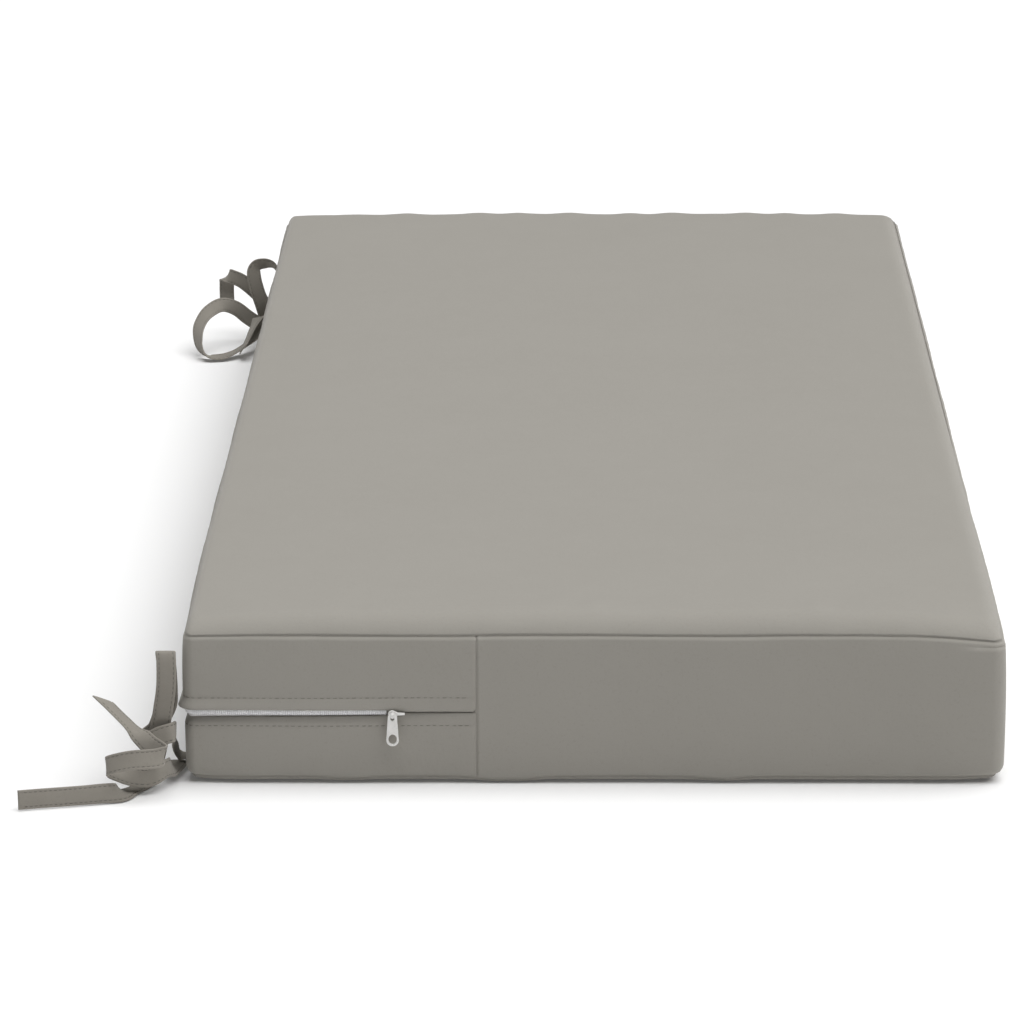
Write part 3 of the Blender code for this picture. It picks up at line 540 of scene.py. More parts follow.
# Centripetal Catmull-Rom curve through the rows.
def smoothRoute(rows, steps):
    points = [list(row) for row in rows]
    first = [2 * a - b for a, b in zip(points[0], points[1])]
    last = [2 * a - b for a, b in zip(points[-1], points[-2])]
    padded = [first] + points + [last]

    def mix(a, b, t, ta, tb):
        return [((tb - t) * x + (t - ta) * y) / (tb - ta) for x, y in zip(a, b)]

    result = []
    for i, count in enumerate(steps):
        p = padded[i:i + 4]
        times = [0.0]
        for a, b in zip(p, p[1:]):
            times.append(times[-1] + max(math.dist(a[:3], b[:3]), 1e-6) ** 0.5)
        t0, t1, t2, t3 = times
        for k in range(count):
            t = t1 + (t2 - t1) * k / count
            a1 = mix(p[0], p[1], t, t0, t1)
            a2 = mix(p[1], p[2], t, t1, t2)
            a3 = mix(p[2], p[3], t, t2, t3)
            b1 = mix(a1, a2, t, t0, t2)
            b2 = mix(a2, a3, t, t1, t3)
            result.append(mix(b1, b2, t, t1, t2))
    result.append(points[-1])
    return result


# Middle point, along, across and face directions, and length so far, at each step.
def strapFrames(rows):
    steps = [max(1, round(math.dist(a[:3], b[:3]) / tieSizes["step"])) for a, b in zip(rows, rows[1:])]
    curve = smoothRoute(rows, steps)
    middles = [Vector(point[:3]) for point in curve]
    frames = []
    gone = 0.0
    for i, point in enumerate(curve):
        along = (middles[min(i + 1, len(curve) - 1)] - middles[max(i - 1, 0)]).normalized()
        across = Vector(point[3:])
        across = (across - along * across.dot(along)).normalized()
        if i:
            gone += (middles[i] - middles[i - 1]).length
        frames.append((middles[i], along, across, along.cross(across), gone))
    return frames


# One flat face of a strap: share of the half width, share of the half thickness.
strapFace = (
    (-0.985, 0.45), (-0.930, 0.92), (-0.860, 1.00), (-0.780, 0.92), (-0.720, 0.66), (-0.660, 0.92),
    (-0.560, 1.00), (-0.250, 0.94), (0.250, 0.94), (0.560, 1.00), (0.660, 0.92), (0.720, 0.66),
    (0.780, 0.92), (0.860, 1.00), (0.930, 0.92), (0.985, 0.45),
)


# Point of a strap at a share of its half width and a share of its half thickness.
def strapPoint(cut, sample, share, height):
    sizes = tieSizes
    middle, along, across, face, gone = sample
    half = sizes["width"] / 2
    seed = cut["seed"]
    side = math.copysign(1.0, share)
    ripple = sizes["ripple"] * wander((gone, share * half, seed), sizes["rippleLength"], seed)
    edge = 1.0 + sizes["edgeWander"] * wander((gone, seed, side), sizes["edgeLength"], seed + 3.0)
    lift = sizes["curl"] * (share * share - sizes["curlFlat"])
    run = max(0.0, 1.0 - (cut["total"] - gone) / sizes["slantReach"])
    place = middle + across * (share * edge * half)
    place = place + face * (height * sizes["thick"] / 2 + ripple + lift)
    return place + along * (share * cut["slant"] * run)


def makeStrap(name, samples, cut):
    bm = bmesh.new()
    lay = bm.loops.layers.uv.new("lay")
    section = [(-1.0, 0.0)] + list(strapFace) + [(1.0, 0.0)]
    section += [(share, -height) for share, height in reversed(strapFace)]
    rings = []
    for sample in samples:
        rings.append([bm.verts.new(strapPoint(cut, sample, share, height)) for share, height in section])
    for i, (first, second) in enumerate(zip(rings, rings[1:])):
        for k in range(len(section)):
            j = (k + 1) % len(section)
            quad = bm.faces.new((first[k], first[j], second[j], second[k]))
            spots = ((i, k), (i, j), (i + 1, j), (i + 1, k))
            for loop, (row, column) in zip(quad.loops, spots):
                loop[lay].uv = (samples[row][4], section[column][0] * tieSizes["width"] / 2)
    bm.faces.new(list(reversed(rings[0])))
    bm.faces.new(rings[-1])
    return makeObject(name, bm, tieMaterial)


# Two lines of short stitches on both flat faces of a strap.
def makeStrapStitches(name, samples, cut):
    sizes = tieSizes
    bm = bmesh.new()
    count = int((cut["total"] - 2 * sizes["endGap"]) / sizes["stitchPitch"])
    row = 1.0 - 2 * sizes["hem"] / sizes["width"]
    stand, fall = sizes["stitchStand"]
    for n in range(count):
        start = sizes["endGap"] + n * sizes["stitchPitch"]
        for side, front in ((-1.0, -1.0), (-1.0, 1.0), (1.0, -1.0), (1.0, 1.0)):
            spine = []
            for t in (-1.0, -0.5, 0.0, 0.5, 1.0):
                gone = start + (t * sizes["stitchHalf"] + 0.5) * sizes["stitchPitch"]
                a, b, part = stepAt(samples, gone)
                sample = tuple(p + (q - p) * part for p, q in zip(a, b))
                place = strapPoint(cut, sample, side * row, front * (stand - fall * t * t))
                spine.append((place, sample[2], sample[3]))
            addThread(bm, spine, sizes["stitchRadius"])
    return makeObject(name, bm, tieThreadMaterial)


def addTie(node, rows, slant=0.0, seed=0.0):
    samples = strapFrames(rows)
    total = samples[-1][4]
    cut = {"total": total, "slant": slant, "seed": seed}
    strap = makeStrap(node + "_cloth", samples, cut)
    stitches = makeStrapStitches(node + "_stitches", samples, cut)
    for piece in (strap, stitches):
        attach(piece, "root")
    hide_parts(node)
    print(f"{node}: {total * 1000:.0f} mm long")


addTie("tie_near_loop", nearLoopRoute, seed=1.3)
addTie("tie_near_tail", nearTailRoute, slant=-tieSizes["slant"], seed=2.7)
addTie("tie_far_bow", farBowRoute, seed=4.1)
addTie("tie_far_loops", farLoopsRoute, seed=5.9)
print("ties made")


# Cushion cover: filled top and boxing, with both edge seams, the zip folds and the join seam.

cushionSizes = {
    "width": 0.501,
    "length": 1.207,
    "nearRadius": 0.009,      # corners in plan
    "farRadius": 0.020,
    "leastRadius": 0.25,      # share of a corner's radius that an inset leaves at least
    "farSpread": 0.0014,      # the right side runs out this far towards the far end
    "spreadFrom": -0.32,      # from this y, fully after the next size
    "spreadReach": 0.40,
    "topSeam": 0.0928,        # heights of the two edge seams
    "bottomSeam": 0.0047,
    "crown": 0.0106,
    "nearCrown": 0.0022,      # more of it at the near end
    "nearCrownFrom": -0.15,   # from this y, fully after the next size
    "nearCrownReach": 0.30,
    "nearRoll": (0.0195, 0.93),    # roll along each side: its width, and its share of the crown
    "farRoll": (0.0100, 0.56),     # (the rest rises slowly)
    "leftRoll": (0.0060, 0.66),
    "rightRoll": (0.0110, 0.72),
    "slowReach": 0.045,
    "topInset": 0.0024,       # how far each seam is drawn in
    "bottomInset": 0.0014,
    "bulge": 0.28,            # low: the boxing fills out quickly beside the seams
    "cornerTuck": 0.0040,     # the underside is rounder at the corners
    "tuckReach": 0.018,
    "leftHigh": 0.0003,       # the zipped long side lies this far in above the zip
    "leftLow": 0.0012,        # and below it
    "leftStep": 0.0080,
    "leftNear": 0.0019,       # and this much more at the near end
    "leftNearFrom": -0.38,    # from this y, fully after the next size
    "leftNearReach": 0.20,
    "leftFrom": -0.2340,      # fading out from the side to this x
    "longDrawIn": 0.0006,
    "shortDrawIn": 0.0008,
    "seamDip": 0.0034,        # at the near right corner
    "dipReach": 0.030,
    "seamWave": 0.0003,
    "seamWaveTurns": (38, 17),     # radians per metre along x and y
    "seamWaveReach": 0.030,
    "seamGroove": 0.0007,     # depth of the dent along a seam
    "seamSag": 0.0003,        # unevenness of the bottom seam, and the size of its waves
    "seamSagSize": 0.020,
    "shortSteps": 114,
    "longSteps": 180,
    "cornerSteps": 10,        # even
}

zipSizes = {
    "height": 0.0457,         # middle line above the floor
    "joinX": -0.0696,         # upright seam where the zip panel ends
    "joinDepth": 0.0010,
    "joinHalf": 0.0006,       # half width of its dent
    "joinFade": 0.0018,       # the folds close over this length before it
    "joinEdge": (0.0003, 0.0018, 0.0014),    # raised edge: height, distance from it, half width
    "rowUp": 0.0090,          # topstitching above and below the middle line
    "rowDown": 0.0086,
    "rowDepth": 0.00030,
    "rowHalf": 0.0008,        # half width of a row's dent
    "stitchPitch": 0.0039,
    "stitchHalf": 0.36,       # half a stitch, as a share of the pitch
    "stitchRadius": 0.00022,
    "stitchStand": (0.00008, 0.00026),    # how far a stitch stands out, and drops at its ends
    "stitchWander": 0.00010,
    "stitchStart": 0.0022,    # behind the join seam
    "pucker": 0.00014,        # between the rows and the folds, and the length of its waves
    "puckerLength": 0.0078,
    "puckerReach": 0.003,
    "longUp": (0.0018, 0.0003),    # gap above the middle line on the long side, and more at the corner
    "longDown": (0.0024, 0.0009),  # and below it
    "shut": 0.0002,           # half gap where there is no zip
    "pocketHalf": 0.0042,
    "foldLip": 0.0008,        # how far a fold's edge turns in
    "foldThick": 0.0011,
    "upperProud": 0.0023,     # the upper fold stands out
    "lowerSunk": 0.0021,      # and the lower one lies back
    "cornerProud": 0.0008,    # more of both at the near corner
    "cornerSunk": 0.0006,
    "cornerReach": 0.036,
    "gapReach": 0.030,        # the gap opens more this near to it
    "coilEndX": -0.1240,
    "coilFace": 0.0011,       # depth of the coil's face behind the cloth
    "coilHalf": 0.0019,
    "toothPitch": 0.00125,
    "toothRadius": 0.00064,
    "toothSlant": 0.16,       # half a rib's slant, as a share of the pitch
    "toothBend": (0.00030, 0.00040),    # how far a rib stands out at its middle, and more at its ends
    "tapeHalf": 0.0037,
    "tapeDepth": 0.0032,
    "tapeThick": 0.0003,
    "shortSteps": 90,
    "cornerSteps": 16,
    "longSteps": 400,
}
# Along the short sides, by x: gap above and below the zip's line, how far the folds stand, and the pocket.
gapUp = ((-0.2520, 0.0021), (-0.1248, 0.0016), (-0.1170, 0.0013), (-0.1128, 0.0004), (-0.0696, 0.0002))
gapDown = ((-0.2520, 0.0033), (-0.1248, 0.0023), (-0.1170, 0.0018), (-0.1128, 0.0005), (-0.0696, 0.0002))
foldStand = ((-0.2520, 1.00), (-0.1248, 0.80), (-0.1128, 0.50), (-0.0900, 0.30), (-0.0696, 0.15))
pocketDepth = ((-0.1170, 0.0036), (-0.1128, 0.0022), (-0.0750, 0.0016), (-0.0700, 0.0012))

# Soft bumps of the top panel's far and near edges: x, rise, half width.
farBumps = (
    (-0.150, 0.0012, 0.012), (-0.092, 0.0013, 0.012), (-0.060, 0.0009, 0.009), (-0.017, 0.0013, 0.014),
    (0.032, 0.0012, 0.011), (0.065, 0.0014, 0.012), (0.127, 0.0010, 0.012), (0.160, 0.0012, 0.010),
    (0.201, 0.0014, 0.013),
)
nearBumps = (
    (-0.175, 0.0004, 0.030), (-0.020, 0.0005, 0.016), (0.030, -0.0004, 0.018), (0.105, 0.0005, 0.020),
    (0.150, -0.0005, 0.016), (0.190, 0.0004, 0.018),
)
# Puckers of the bottom seam on the near side: x, drop, half width.
seamPuckers = (
    (-0.148, 0.0014, 0.014), (-0.058, 0.0022, 0.013), (-0.040, 0.0018, 0.010), (0.079, 0.0018, 0.014),
)
# Small swells of the top panel behind the near seam: x, distance from the near side, rise, half sizes.
topSwells = (
    (-0.0190, 0.045, 0.00050, 0.011, 0.011),
    (0.0010, 0.030, 0.00085, 0.008, 0.012),
    (0.1370, 0.027, 0.00085, 0.011, 0.013),
    (0.1600, 0.026, 0.00045, 0.006, 0.010),
    (-0.0490, 0.034, 0.00030, 0.011, 0.009),
    (-0.1630, 0.025, 0.00030, 0.009, 0.009),
)
# Faint pulls that run in from the left side: y, rise, half width.
leftPulls = (
    (0.320, 0.00022, 0.0035), (0.289, 0.00020, 0.0030), (0.248, 0.00022, 0.0040), (0.198, 0.00018, 0.0035),
    (0.146, 0.00020, 0.0040), (0.124, 0.00014, 0.0030),
)


def bumpSum(table, x):
    return sum(rise * bell(x - place, half) for place, rise, half in table)


# Share along a short side's straight part at x.
def shareAtX(radius, x):
    straight = cushionSizes["width"] - 2 * radius
    return (x + straight / 2) / straight


# Closer stations on the short sides: x, and distances to both sides of it.
closeStations = (
    (zipSizes["joinX"], (0.0004, 0.0009, 0.0017, 0.0030)),
    (-0.1149, (0.0010, 0.0021)),     # at the slider
)
leastShare = 0.0022     # even stations keep this far from them


# Shares of the stations on the near and the far side, of the same number.
def shortSideShares(radii):
    steps = cushionSizes["shortSteps"]
    close = []
    for radius in radii:
        shares = []
        for x, offsets in closeStations:
            shares.append(shareAtX(radius, x))
            shares += [shareAtX(radius, x + side * offset) for offset in offsets for side in (-1, 1)]
        close.append(shares)
    even = [i / steps for i in range(steps)]
    even = [s for s in even if all(abs(s - t) > leastShare for shares in close for t in shares)]
    return [sorted(even + shares) for shares in close]


# Stations round the outline from the near left corner: (side, share) or (corner, share).
def makeStations(sizes):
    near, far = shortSideShares((sizes["nearRadius"], sizes["farRadius"]))
    far = [0.0] + [1 - share for share in reversed(far[1:])]
    longSide = [i / sizes["longSteps"] for i in range(sizes["longSteps"])]
    stations = []
    for side, row in enumerate((near, longSide, far, longSide)):
        stations += [("side", side, share) for share in row]
        stations += [("corner", side, i / sizes["cornerSteps"]) for i in range(sizes["cornerSteps"])]
    return stations


cornerSigns = ((-1, -1), (1, -1), (1, 1), (-1, 1))
sideNormals = (Vector((0, -1)), Vector((1, 0)), Vector((0, 1)), Vector((-1, 0)))


# Centre and radius of a corner of the outline that is moved in by inset.
def cornerCircle(index, inset):
    signX, signY = cornerSigns[index]
    full = cushionSizes["nearRadius"] if signY < 0 else cushionSizes["farRadius"]
    radius = max(full - inset, cushionSizes["leastRadius"] * full)
    centreX = signX * (cushionSizes["width"] / 2 - inset - radius)
    return Vector((centreX, signY * (cushionSizes["length"] / 2 - inset - radius))), radius


# Point of the plan outline, moved in by inset.
def outlinePoint(station, inset):
    sizes = cushionSizes
    kind, side, share = station
    centre, radius = cornerCircle((side + 1) % 4, inset)
    normal = sideNormals[side]
    if kind == "side":
        start, startRadius = cornerCircle(side, inset)
        place = (start + normal * startRadius).lerp(centre + normal * radius, share)
    else:
        turn = math.radians(90) * share
        place = centre + (normal * math.cos(turn) + sideNormals[(side + 1) % 4] * math.sin(turn)) * radius
    if place.x > 0:
        reach = smoothStep((place.y - sizes["spreadFrom"]) / sizes["spreadReach"])
        place.x += sizes["farSpread"] * reach * place.x / (sizes["width"] / 2 - inset)
    return place


def drawIn(station):
    kind, side, share = station
    if kind == "corner":
        return 0.0
    deep = cushionSizes["longDrawIn"] if side % 2 else cushionSizes["shortDrawIn"]
    return deep * math.sin(math.pi * share) ** 2


# Point of the cushion's skin at a station.
# The zipped long side lies a little further in, most below the zip.
def skinPoint(station, inset, z):
    sizes = cushionSizes
    flat = outlinePoint(station, inset)
    low = smoothStep((zipSizes["height"] + sizes["leftStep"] / 2 - z) / sizes["leftStep"])
    moveIn = sizes["leftHigh"] + (sizes["leftLow"] - sizes["leftHigh"]) * low
    moveIn += sizes["leftNear"] * smoothStep((sizes["leftNearFrom"] - flat.y) / sizes["leftNearReach"])
    moveIn *= smoothStep((sizes["leftFrom"] - flat.x) / (sizes["leftFrom"] + sizes["width"] / 2))
    return Vector((flat.x + moveIn, flat.y, z))


# Extra inset of the underside at a corner.
def cornerTuck(station):
    sizes = cushionSizes
    place = outlinePoint(station, 0.0)
    away = math.hypot(sizes["width"] / 2 - abs(place.x), sizes["length"] / 2 - abs(place.y))
    return sizes["cornerTuck"] * bell(away, sizes["tuckReach"])


def topSeamHeight(place):
    sizes = cushionSizes
    corner = math.hypot(place.x - sizes["width"] / 2, place.y + sizes["length"] / 2)
    edge = min(sizes["width"] / 2 - abs(place.x), sizes["length"] / 2 - abs(place.y))
    spot = (place.x, place.y, 0.0)
    turnX, turnY = sizes["seamWaveTurns"]
    wave = math.sin(turnX * place.x + turnY * place.y)
    wave += 0.5 * wander(spot, 0.035, 7.0) + 0.3 * wander(spot, 0.013, 9.0)
    wave *= sizes["seamWave"] * bell(edge, sizes["seamWaveReach"])
    return sizes["topSeam"] - sizes["seamDip"] * bell(corner, sizes["dipReach"]) + wave


# Unevenness of the top panel: heights of its waves, and their sizes.
topUneven = {
    "broad": 0.00030,
    "broadSize": 0.120,
    "fine": 0.00010,
    "fineSize": 0.050,
    "edgeFade": 0.030,          # these two fade out this close to the seams
    "gather": 0.00022,          # short gathers along the seams
    "fineGather": 0.00012,
    "fineShare": 0.42,          # size of the fine gathers beside the others
    "endGather": (0.020, 0.024),     # size, and reach from the seam, at the short sides
    "longGather": (0.026, 0.022),    # and at the long sides
    "seamFade": 0.006,
    "swellZone": 0.090,         # the swells lie this close to the near side
    "pullZone": 0.080,          # and the pulls this close to the left side
    "pullFade": 0.008,
    "pullReach": 0.038,
}


def topWaves(place):
    uneven = topUneven
    awayX = cushionSizes["width"] / 2 - abs(place.x)
    awayY = cushionSizes["length"] / 2 - abs(place.y)
    spot = (place.x, place.y, 0.0)
    total = uneven["broad"] * wander(spot, uneven["broadSize"], 1.0)
    total += uneven["fine"] * wander(spot, uneven["fineSize"], 2.0)
    total *= smoothStep(min(awayX, awayY) / uneven["edgeFade"])
    side = 1.0 if place.x > 0 else -1.0
    end = 1.0 if place.y > 0 else -1.0
    for away, along, (size, reach) in (
            (awayY, (place.x, end * 0.4, awayY * 0.25), uneven["endGather"]),
            (awayX, (place.y, side * 0.7, awayX * 0.25), uneven["longGather"])):
        pull = smoothStep(away / uneven["seamFade"]) * bell(away, reach)
        gathers = uneven["gather"] * wander(along, size, 4.0)
        gathers += uneven["fineGather"] * wander(along, size * uneven["fineShare"], 5.0)
        total += pull * gathers
    fromNear = cushionSizes["length"] / 2 + place.y
    if fromNear < uneven["swellZone"]:
        for x, away, rise, halfX, halfAway in topSwells:
            total += rise * bell(place.x - x, halfX) * bell(fromNear - away, halfAway)
    fromLeft = cushionSizes["width"] / 2 + place.x
    if fromLeft < uneven["pullZone"]:
        fade = smoothStep(fromLeft / uneven["pullFade"]) * bell(fromLeft, uneven["pullReach"])
        total += bumpSum(leftPulls, place.y) * fade
    return total


# Height share of a round roll, from 0 at the seam to 1 where it meets the flat.
def rollRise(away, reach, steep=0.92):
    left = steep * max(1 - away / reach, 0.0)
    low = math.sqrt(1 - steep * steep)
    return (math.sqrt(1 - left * left) - low) / (1 - low)


# Where the bumps of the far and near edges lie: distance from the side, and half width.
farBumpBand = (0.014, 0.014)
nearBumpBand = (0.045, 0.035)


def topHeight(place):
    sizes = cushionSizes
    nearShare = smoothStep((sizes["nearCrownFrom"] - place.y) / sizes["nearCrownReach"])
    rise = sizes["crown"] + sizes["nearCrown"] * nearShare
    rollX = sizes["leftRoll"] if place.x < 0 else sizes["rightRoll"]
    rollY = sizes["nearRoll"] if place.y < 0 else sizes["farRoll"]
    for reach, full, roll in ((abs(place.x), sizes["width"], rollX), (abs(place.y), sizes["length"], rollY)):
        away = max(full / 2 - sizes["topInset"] - reach, 0.0)
        slow = 1 - math.exp(-away / sizes["slowReach"])
        rise *= roll[1] * rollRise(away, roll[0]) + (1 - roll[1]) * slow
    farEdge = bell(place.y - (sizes["length"] / 2 - farBumpBand[0]), farBumpBand[1])
    nearEdge = bell(place.y + (sizes["length"] / 2 - nearBumpBand[0]), nearBumpBand[1])
    rise += farEdge * bumpSum(farBumps, place.x) + nearEdge * bumpSum(nearBumps, place.x)
    return topSeamHeight(place) + rise


def topSurface(place):
    return topHeight(place) + topWaves(place)


# Unevenness of the boxing: depths of its waves, and their sizes.
sideUneven = {
    "wave": 0.0003,
    "broad": 0.0004,
    "broadSize": 0.070,
    "fine": 0.00012,
    "fineSize": 0.026,
    "gather": 0.00022,          # short gathers along the seams
    "gatherSize": 0.014,
    "fineGather": 0.00012,
    "fineGatherSize": 0.006,
    "gatherZone": 0.040,
    "seamFade": 0.0025,
    "topReach": 0.009,
    "bottomReach": 0.008,
}


# Inset of the boxing at a height: drawn in at the seams, with soft waves and gathers.
def sideInset(station, z, place):
    sizes = cushionSizes
    uneven = sideUneven
    share = min(max((z - sizes["bottomSeam"]) / (sizes["topSeam"] - sizes["bottomSeam"]), 0.0), 1.0)
    bulge = (4 * share * (1 - share)) ** sizes["bulge"]
    edge = sizes["bottomInset"] if share < 0.5 else sizes["topInset"]
    inset = edge * (1 - bulge)
    spot = (place.x, place.y, z)
    ripple = uneven["wave"] * math.sin(47 * place.x + 31 * place.y)
    ripple += uneven["broad"] * wander(spot, uneven["broadSize"], 1.5)
    ripple += uneven["fine"] * wander(spot, uneven["fineSize"], 2.5)
    gather = 0.0
    for away, reach, seed in ((sizes["topSeam"] - z, uneven["topReach"], 3.5),
                              (z - sizes["bottomSeam"], uneven["bottomReach"], 4.5)):
        if 0 < away < uneven["gatherZone"]:
            pull = smoothStep(away / uneven["seamFade"]) * bell(away, reach)
            flat = (place.x, place.y, away * 0.3)
            gathers = uneven["gather"] * wander(flat, uneven["gatherSize"], seed)
            gathers += uneven["fineGather"] * wander(flat, uneven["fineGatherSize"], seed)
            gather += pull * gathers
    return drawIn(station) + inset + ripple * min(bulge * 1.2, 1.0) + gather


# How open the zip is at a station.
def zipState(station):
    kind, side, share = station
    place = outlinePoint(station, 0.0)
    joinX = zipSizes["joinX"]
    shut = zipSizes["shut"]
    onShort = kind == "side" and side in (0, 2)
    beyond = onShort and place.x >= joinX - 0.0003
    if side == 1 or (kind == "corner" and side in (0, 1)) or beyond:
        return {"folds": 0.0, "up": shut, "down": shut, "depth": 0.0, "stand": 0.0, "corner": 0.0}
    corner = math.hypot(place.x + cushionSizes["width"] / 2, place.y + cushionSizes["length"] / 2)
    state = {"folds": 1.0, "corner": bell(corner, zipSizes["cornerReach"])}
    state["depth"] = alongTable(pocketDepth, place.x)
    state["stand"] = alongTable(foldStand, place.x)
    if onShort:
        state["folds"] = smoothStep((joinX - place.x) / zipSizes["joinFade"])
        state["up"] = alongTable(gapUp, place.x)
        state["down"] = alongTable(gapDown, place.x)
    else:
        toCorner = bell(corner, zipSizes["gapReach"])
        for way, (gap, more) in (("up", zipSizes["longUp"]), ("down", zipSizes["longDown"])):
            state[way] = gap + more * toCorner
    return state


# Dent of the upright join seam, with a raised edge at its right.
def joinDent(place):
    away = place.x - zipSizes["joinX"]
    if abs(place.y) < cushionSizes["length"] / 2 - 0.01:
        return 0.0
    rise, where, half = zipSizes["joinEdge"]
    return zipSizes["joinDepth"] * bell(away, zipSizes["joinHalf"]) - rise * bell(away - where, half)


# Rings of the underside: insets of the flat ones, then inset behind its edge, height, and share of a
# pucker's drop.
flatRings = (0.0450, 0.0280)
undersideRings = (
    (0.0160, 0.0, 0.0), (0.0120, 0.0001, 0.0), (0.0082, 0.0005, 0.0), (0.0052, 0.0011, 0.3),
    (0.0030, 0.0019, 0.5), (0.0016, 0.0029, 0.8),
)
# Heights of the plain boxing's rings below and above the zip, and distances of those beside its rows.
lowerHeights = (0.0145, 0.0190, 0.0240, 0.0290)
upperHeights = (0.0600, 0.0650, 0.0700, 0.0750, 0.0795, 0.0834, 0.0866)
besideRow = (0.0009, 0.0022)
# Rings below the top seam: height on the plain boxing, and distance below the seam.
belowSeam = ((0.0886, 0.0040), (0.0900, 0.0026), (0.0908, 0.0015))
# Rings of the folds, in from each row, then towards the gap: distance to it, and how far they turn in.
insideRow = (0.0, 0.0009, 0.0024)
lowTurn = ((0.0028, 0.0), (0.0015, 0.0), (0.0007, 0.0001), (0.0002, 0.0004))
highTurn = ((0.0002, 0.0004), (0.0007, 0.0001), (0.0015, 0.0), (0.0030, 0.0))


# Folds and pocket from the lower row to the upper one: (depth of its own, height).
def foldRings(state, place, rowLow, rowHigh):
    depth = state["depth"]
    gapLow = zipSizes["height"] - state["down"]
    gapHigh = zipSizes["height"] + state["up"]
    sunk = state["stand"] * (zipSizes["lowerSunk"] + zipSizes["cornerSunk"] * state["corner"])
    proud = state["stand"] * (zipSizes["upperProud"] + zipSizes["cornerProud"] * state["corner"])
    pucker = zipSizes["pucker"] * math.sin(2 * math.pi * (place.x + place.y) / zipSizes["puckerLength"])
    deepShare = smoothStep(depth / 0.003)
    pocketLow = gapLow - (zipSizes["pocketHalf"] - state["down"]) * deepShare
    pocketHigh = gapHigh + (zipSizes["pocketHalf"] - state["up"]) * deepShare
    inner = min(zipSizes["foldThick"], depth * 0.6)
    lowLip = sunk + zipSizes["foldLip"]
    highLip = zipSizes["foldLip"] - proud
    back = max(depth, lowLip + inner)
    rings = []
    lowEdge = [(rowLow + up, 0.0) for up in insideRow] + [(gapLow - down, turn) for down, turn in lowTurn]
    for z, turn in lowEdge:
        lift = smoothStep((z - rowLow) / (gapLow - rowLow))
        rings.append((sunk * lift + turn + pucker * bell(z - rowLow, zipSizes["puckerReach"]), z))
    rings += [
        (lowLip, gapLow), (lowLip + inner, gapLow - 0.0001), (max(0.75 * depth, lowLip + inner), pocketLow),
        (back, pocketLow), (back, pocketHigh), (0.60 * depth, pocketHigh),
        (highLip + inner, gapHigh + 0.0001), (highLip, gapHigh),
    ]
    highEdge = [(gapHigh + up, turn) for up, turn in highTurn]
    highEdge += [(rowHigh - down, 0.0) for down in reversed(insideRow)]
    for z, turn in highEdge:
        lift = smoothStep((rowHigh - z) / (rowHigh - gapHigh))
        rings.append((turn - proud * lift + pucker * bell(z - rowHigh, zipSizes["puckerReach"]), z))
    return rings


# (inset, height) of each ring at a station, from the underside to the top seam.
def sideProfile(station):
    sizes = cushionSizes
    state = zipState(station)
    folds = state["folds"]
    place = outlinePoint(station, 0.0)
    drawn = drawIn(station)
    rowLow = zipSizes["height"] - zipSizes["rowDown"]
    rowHigh = zipSizes["height"] + zipSizes["rowUp"]
    seamZ = topSeamHeight(place)
    bottomZ = sizes["bottomSeam"]
    drop = bumpSum(seamPuckers, place.x) if place.y < -sizes["length"] / 2 + 0.002 else 0.0
    drop += sizes["seamSag"] * wander((place.x, place.y, 0.0), sizes["seamSagSize"], 6.0)
    dent = joinDent(place)
    groove = sizes["seamGroove"]
    tuck = cornerTuck(station)
    under = sizes["bottomInset"] + drawn + tuck

    # the boxing with the dents of its topstitching
    def cloth(z, own=0.0):
        rows = sum(bell(z - row, zipSizes["rowHalf"]) for row in (rowLow, rowHigh))
        own += zipSizes["rowDepth"] * rows
        return sideInset(station, z, place) + dent + folds * own, z

    # beyond the join seam the folds' rings lie evenly on the plain boxing
    between = []
    foldRows = foldRings(state, place, rowLow, rowHigh)
    for i, (own, z) in enumerate(foldRows):
        plainZ = rowLow + (rowHigh - rowLow) * i / (len(foldRows) - 1)
        between.append(cloth(plainZ + (z - plainZ) * folds, own))

    rings = [(inset, 0.0) for inset in flatRings]
    rings += [(inset + under, z - share * drop) for inset, z, share in undersideRings]
    rings += [
        (0.0006 + under, bottomZ - 0.0006 - drop),
        (0.0004 + 0.8 * groove + under, bottomZ - drop),
        (sideInset(station, bottomZ + 0.0009, place) + 0.9 * tuck, bottomZ + 0.0007 - drop),
        (sideInset(station, bottomZ + 0.0018, place) + dent + 0.5 * tuck, bottomZ + 0.0016 - 0.8 * drop),
        (cloth(0.0086)[0] + 0.15 * tuck, 0.0086 - 0.5 * drop),
        (cloth(0.0108)[0], 0.0108 - 0.3 * drop),
    ]
    rings += [cloth(z) for z in lowerHeights]
    rings += [cloth(rowLow - down) for down in reversed(besideRow)]
    rings += between
    rings += [cloth(rowHigh + up) for up in besideRow]
    rings += [cloth(z) for z in upperHeights]
    rings += [(cloth(z)[0], seamZ - down) for z, down in belowSeam]
    edge = sizes["topInset"] + drawn + dent
    rings += [(edge - 0.0003, seamZ - 0.0008), (edge + 0.4 * groove, seamZ - 0.0003), (edge + groove, seamZ)]
    return rings, drawn


# The top panel's turned edge (inset behind the seam, height over it), then the insets of its rows.
turnedEdge = ((0.0006, 0.0003), (0.0008, 0.0008))
topRows = (0.0028, 0.0034, 0.0042, 0.0052, 0.0064, 0.0080, 0.0100, 0.0126, 0.0158, 0.0196, 0.0240, 0.0290)


# Points of the skin at a station, from the underside to the innermost row of the top panel.
def skinColumn(station):
    levels, drawn = sideProfile(station)
    edge = cushionSizes["topInset"] + drawn
    levels += [(edge + behind, levels[-1][1] + lift) for behind, lift in turnedEdge]
    column = [skinPoint(station, inset, z) for inset, z in levels]
    for inset in topRows:
        column.append(skinPoint(station, inset + drawn, topSurface(outlinePoint(station, inset))))
    return column


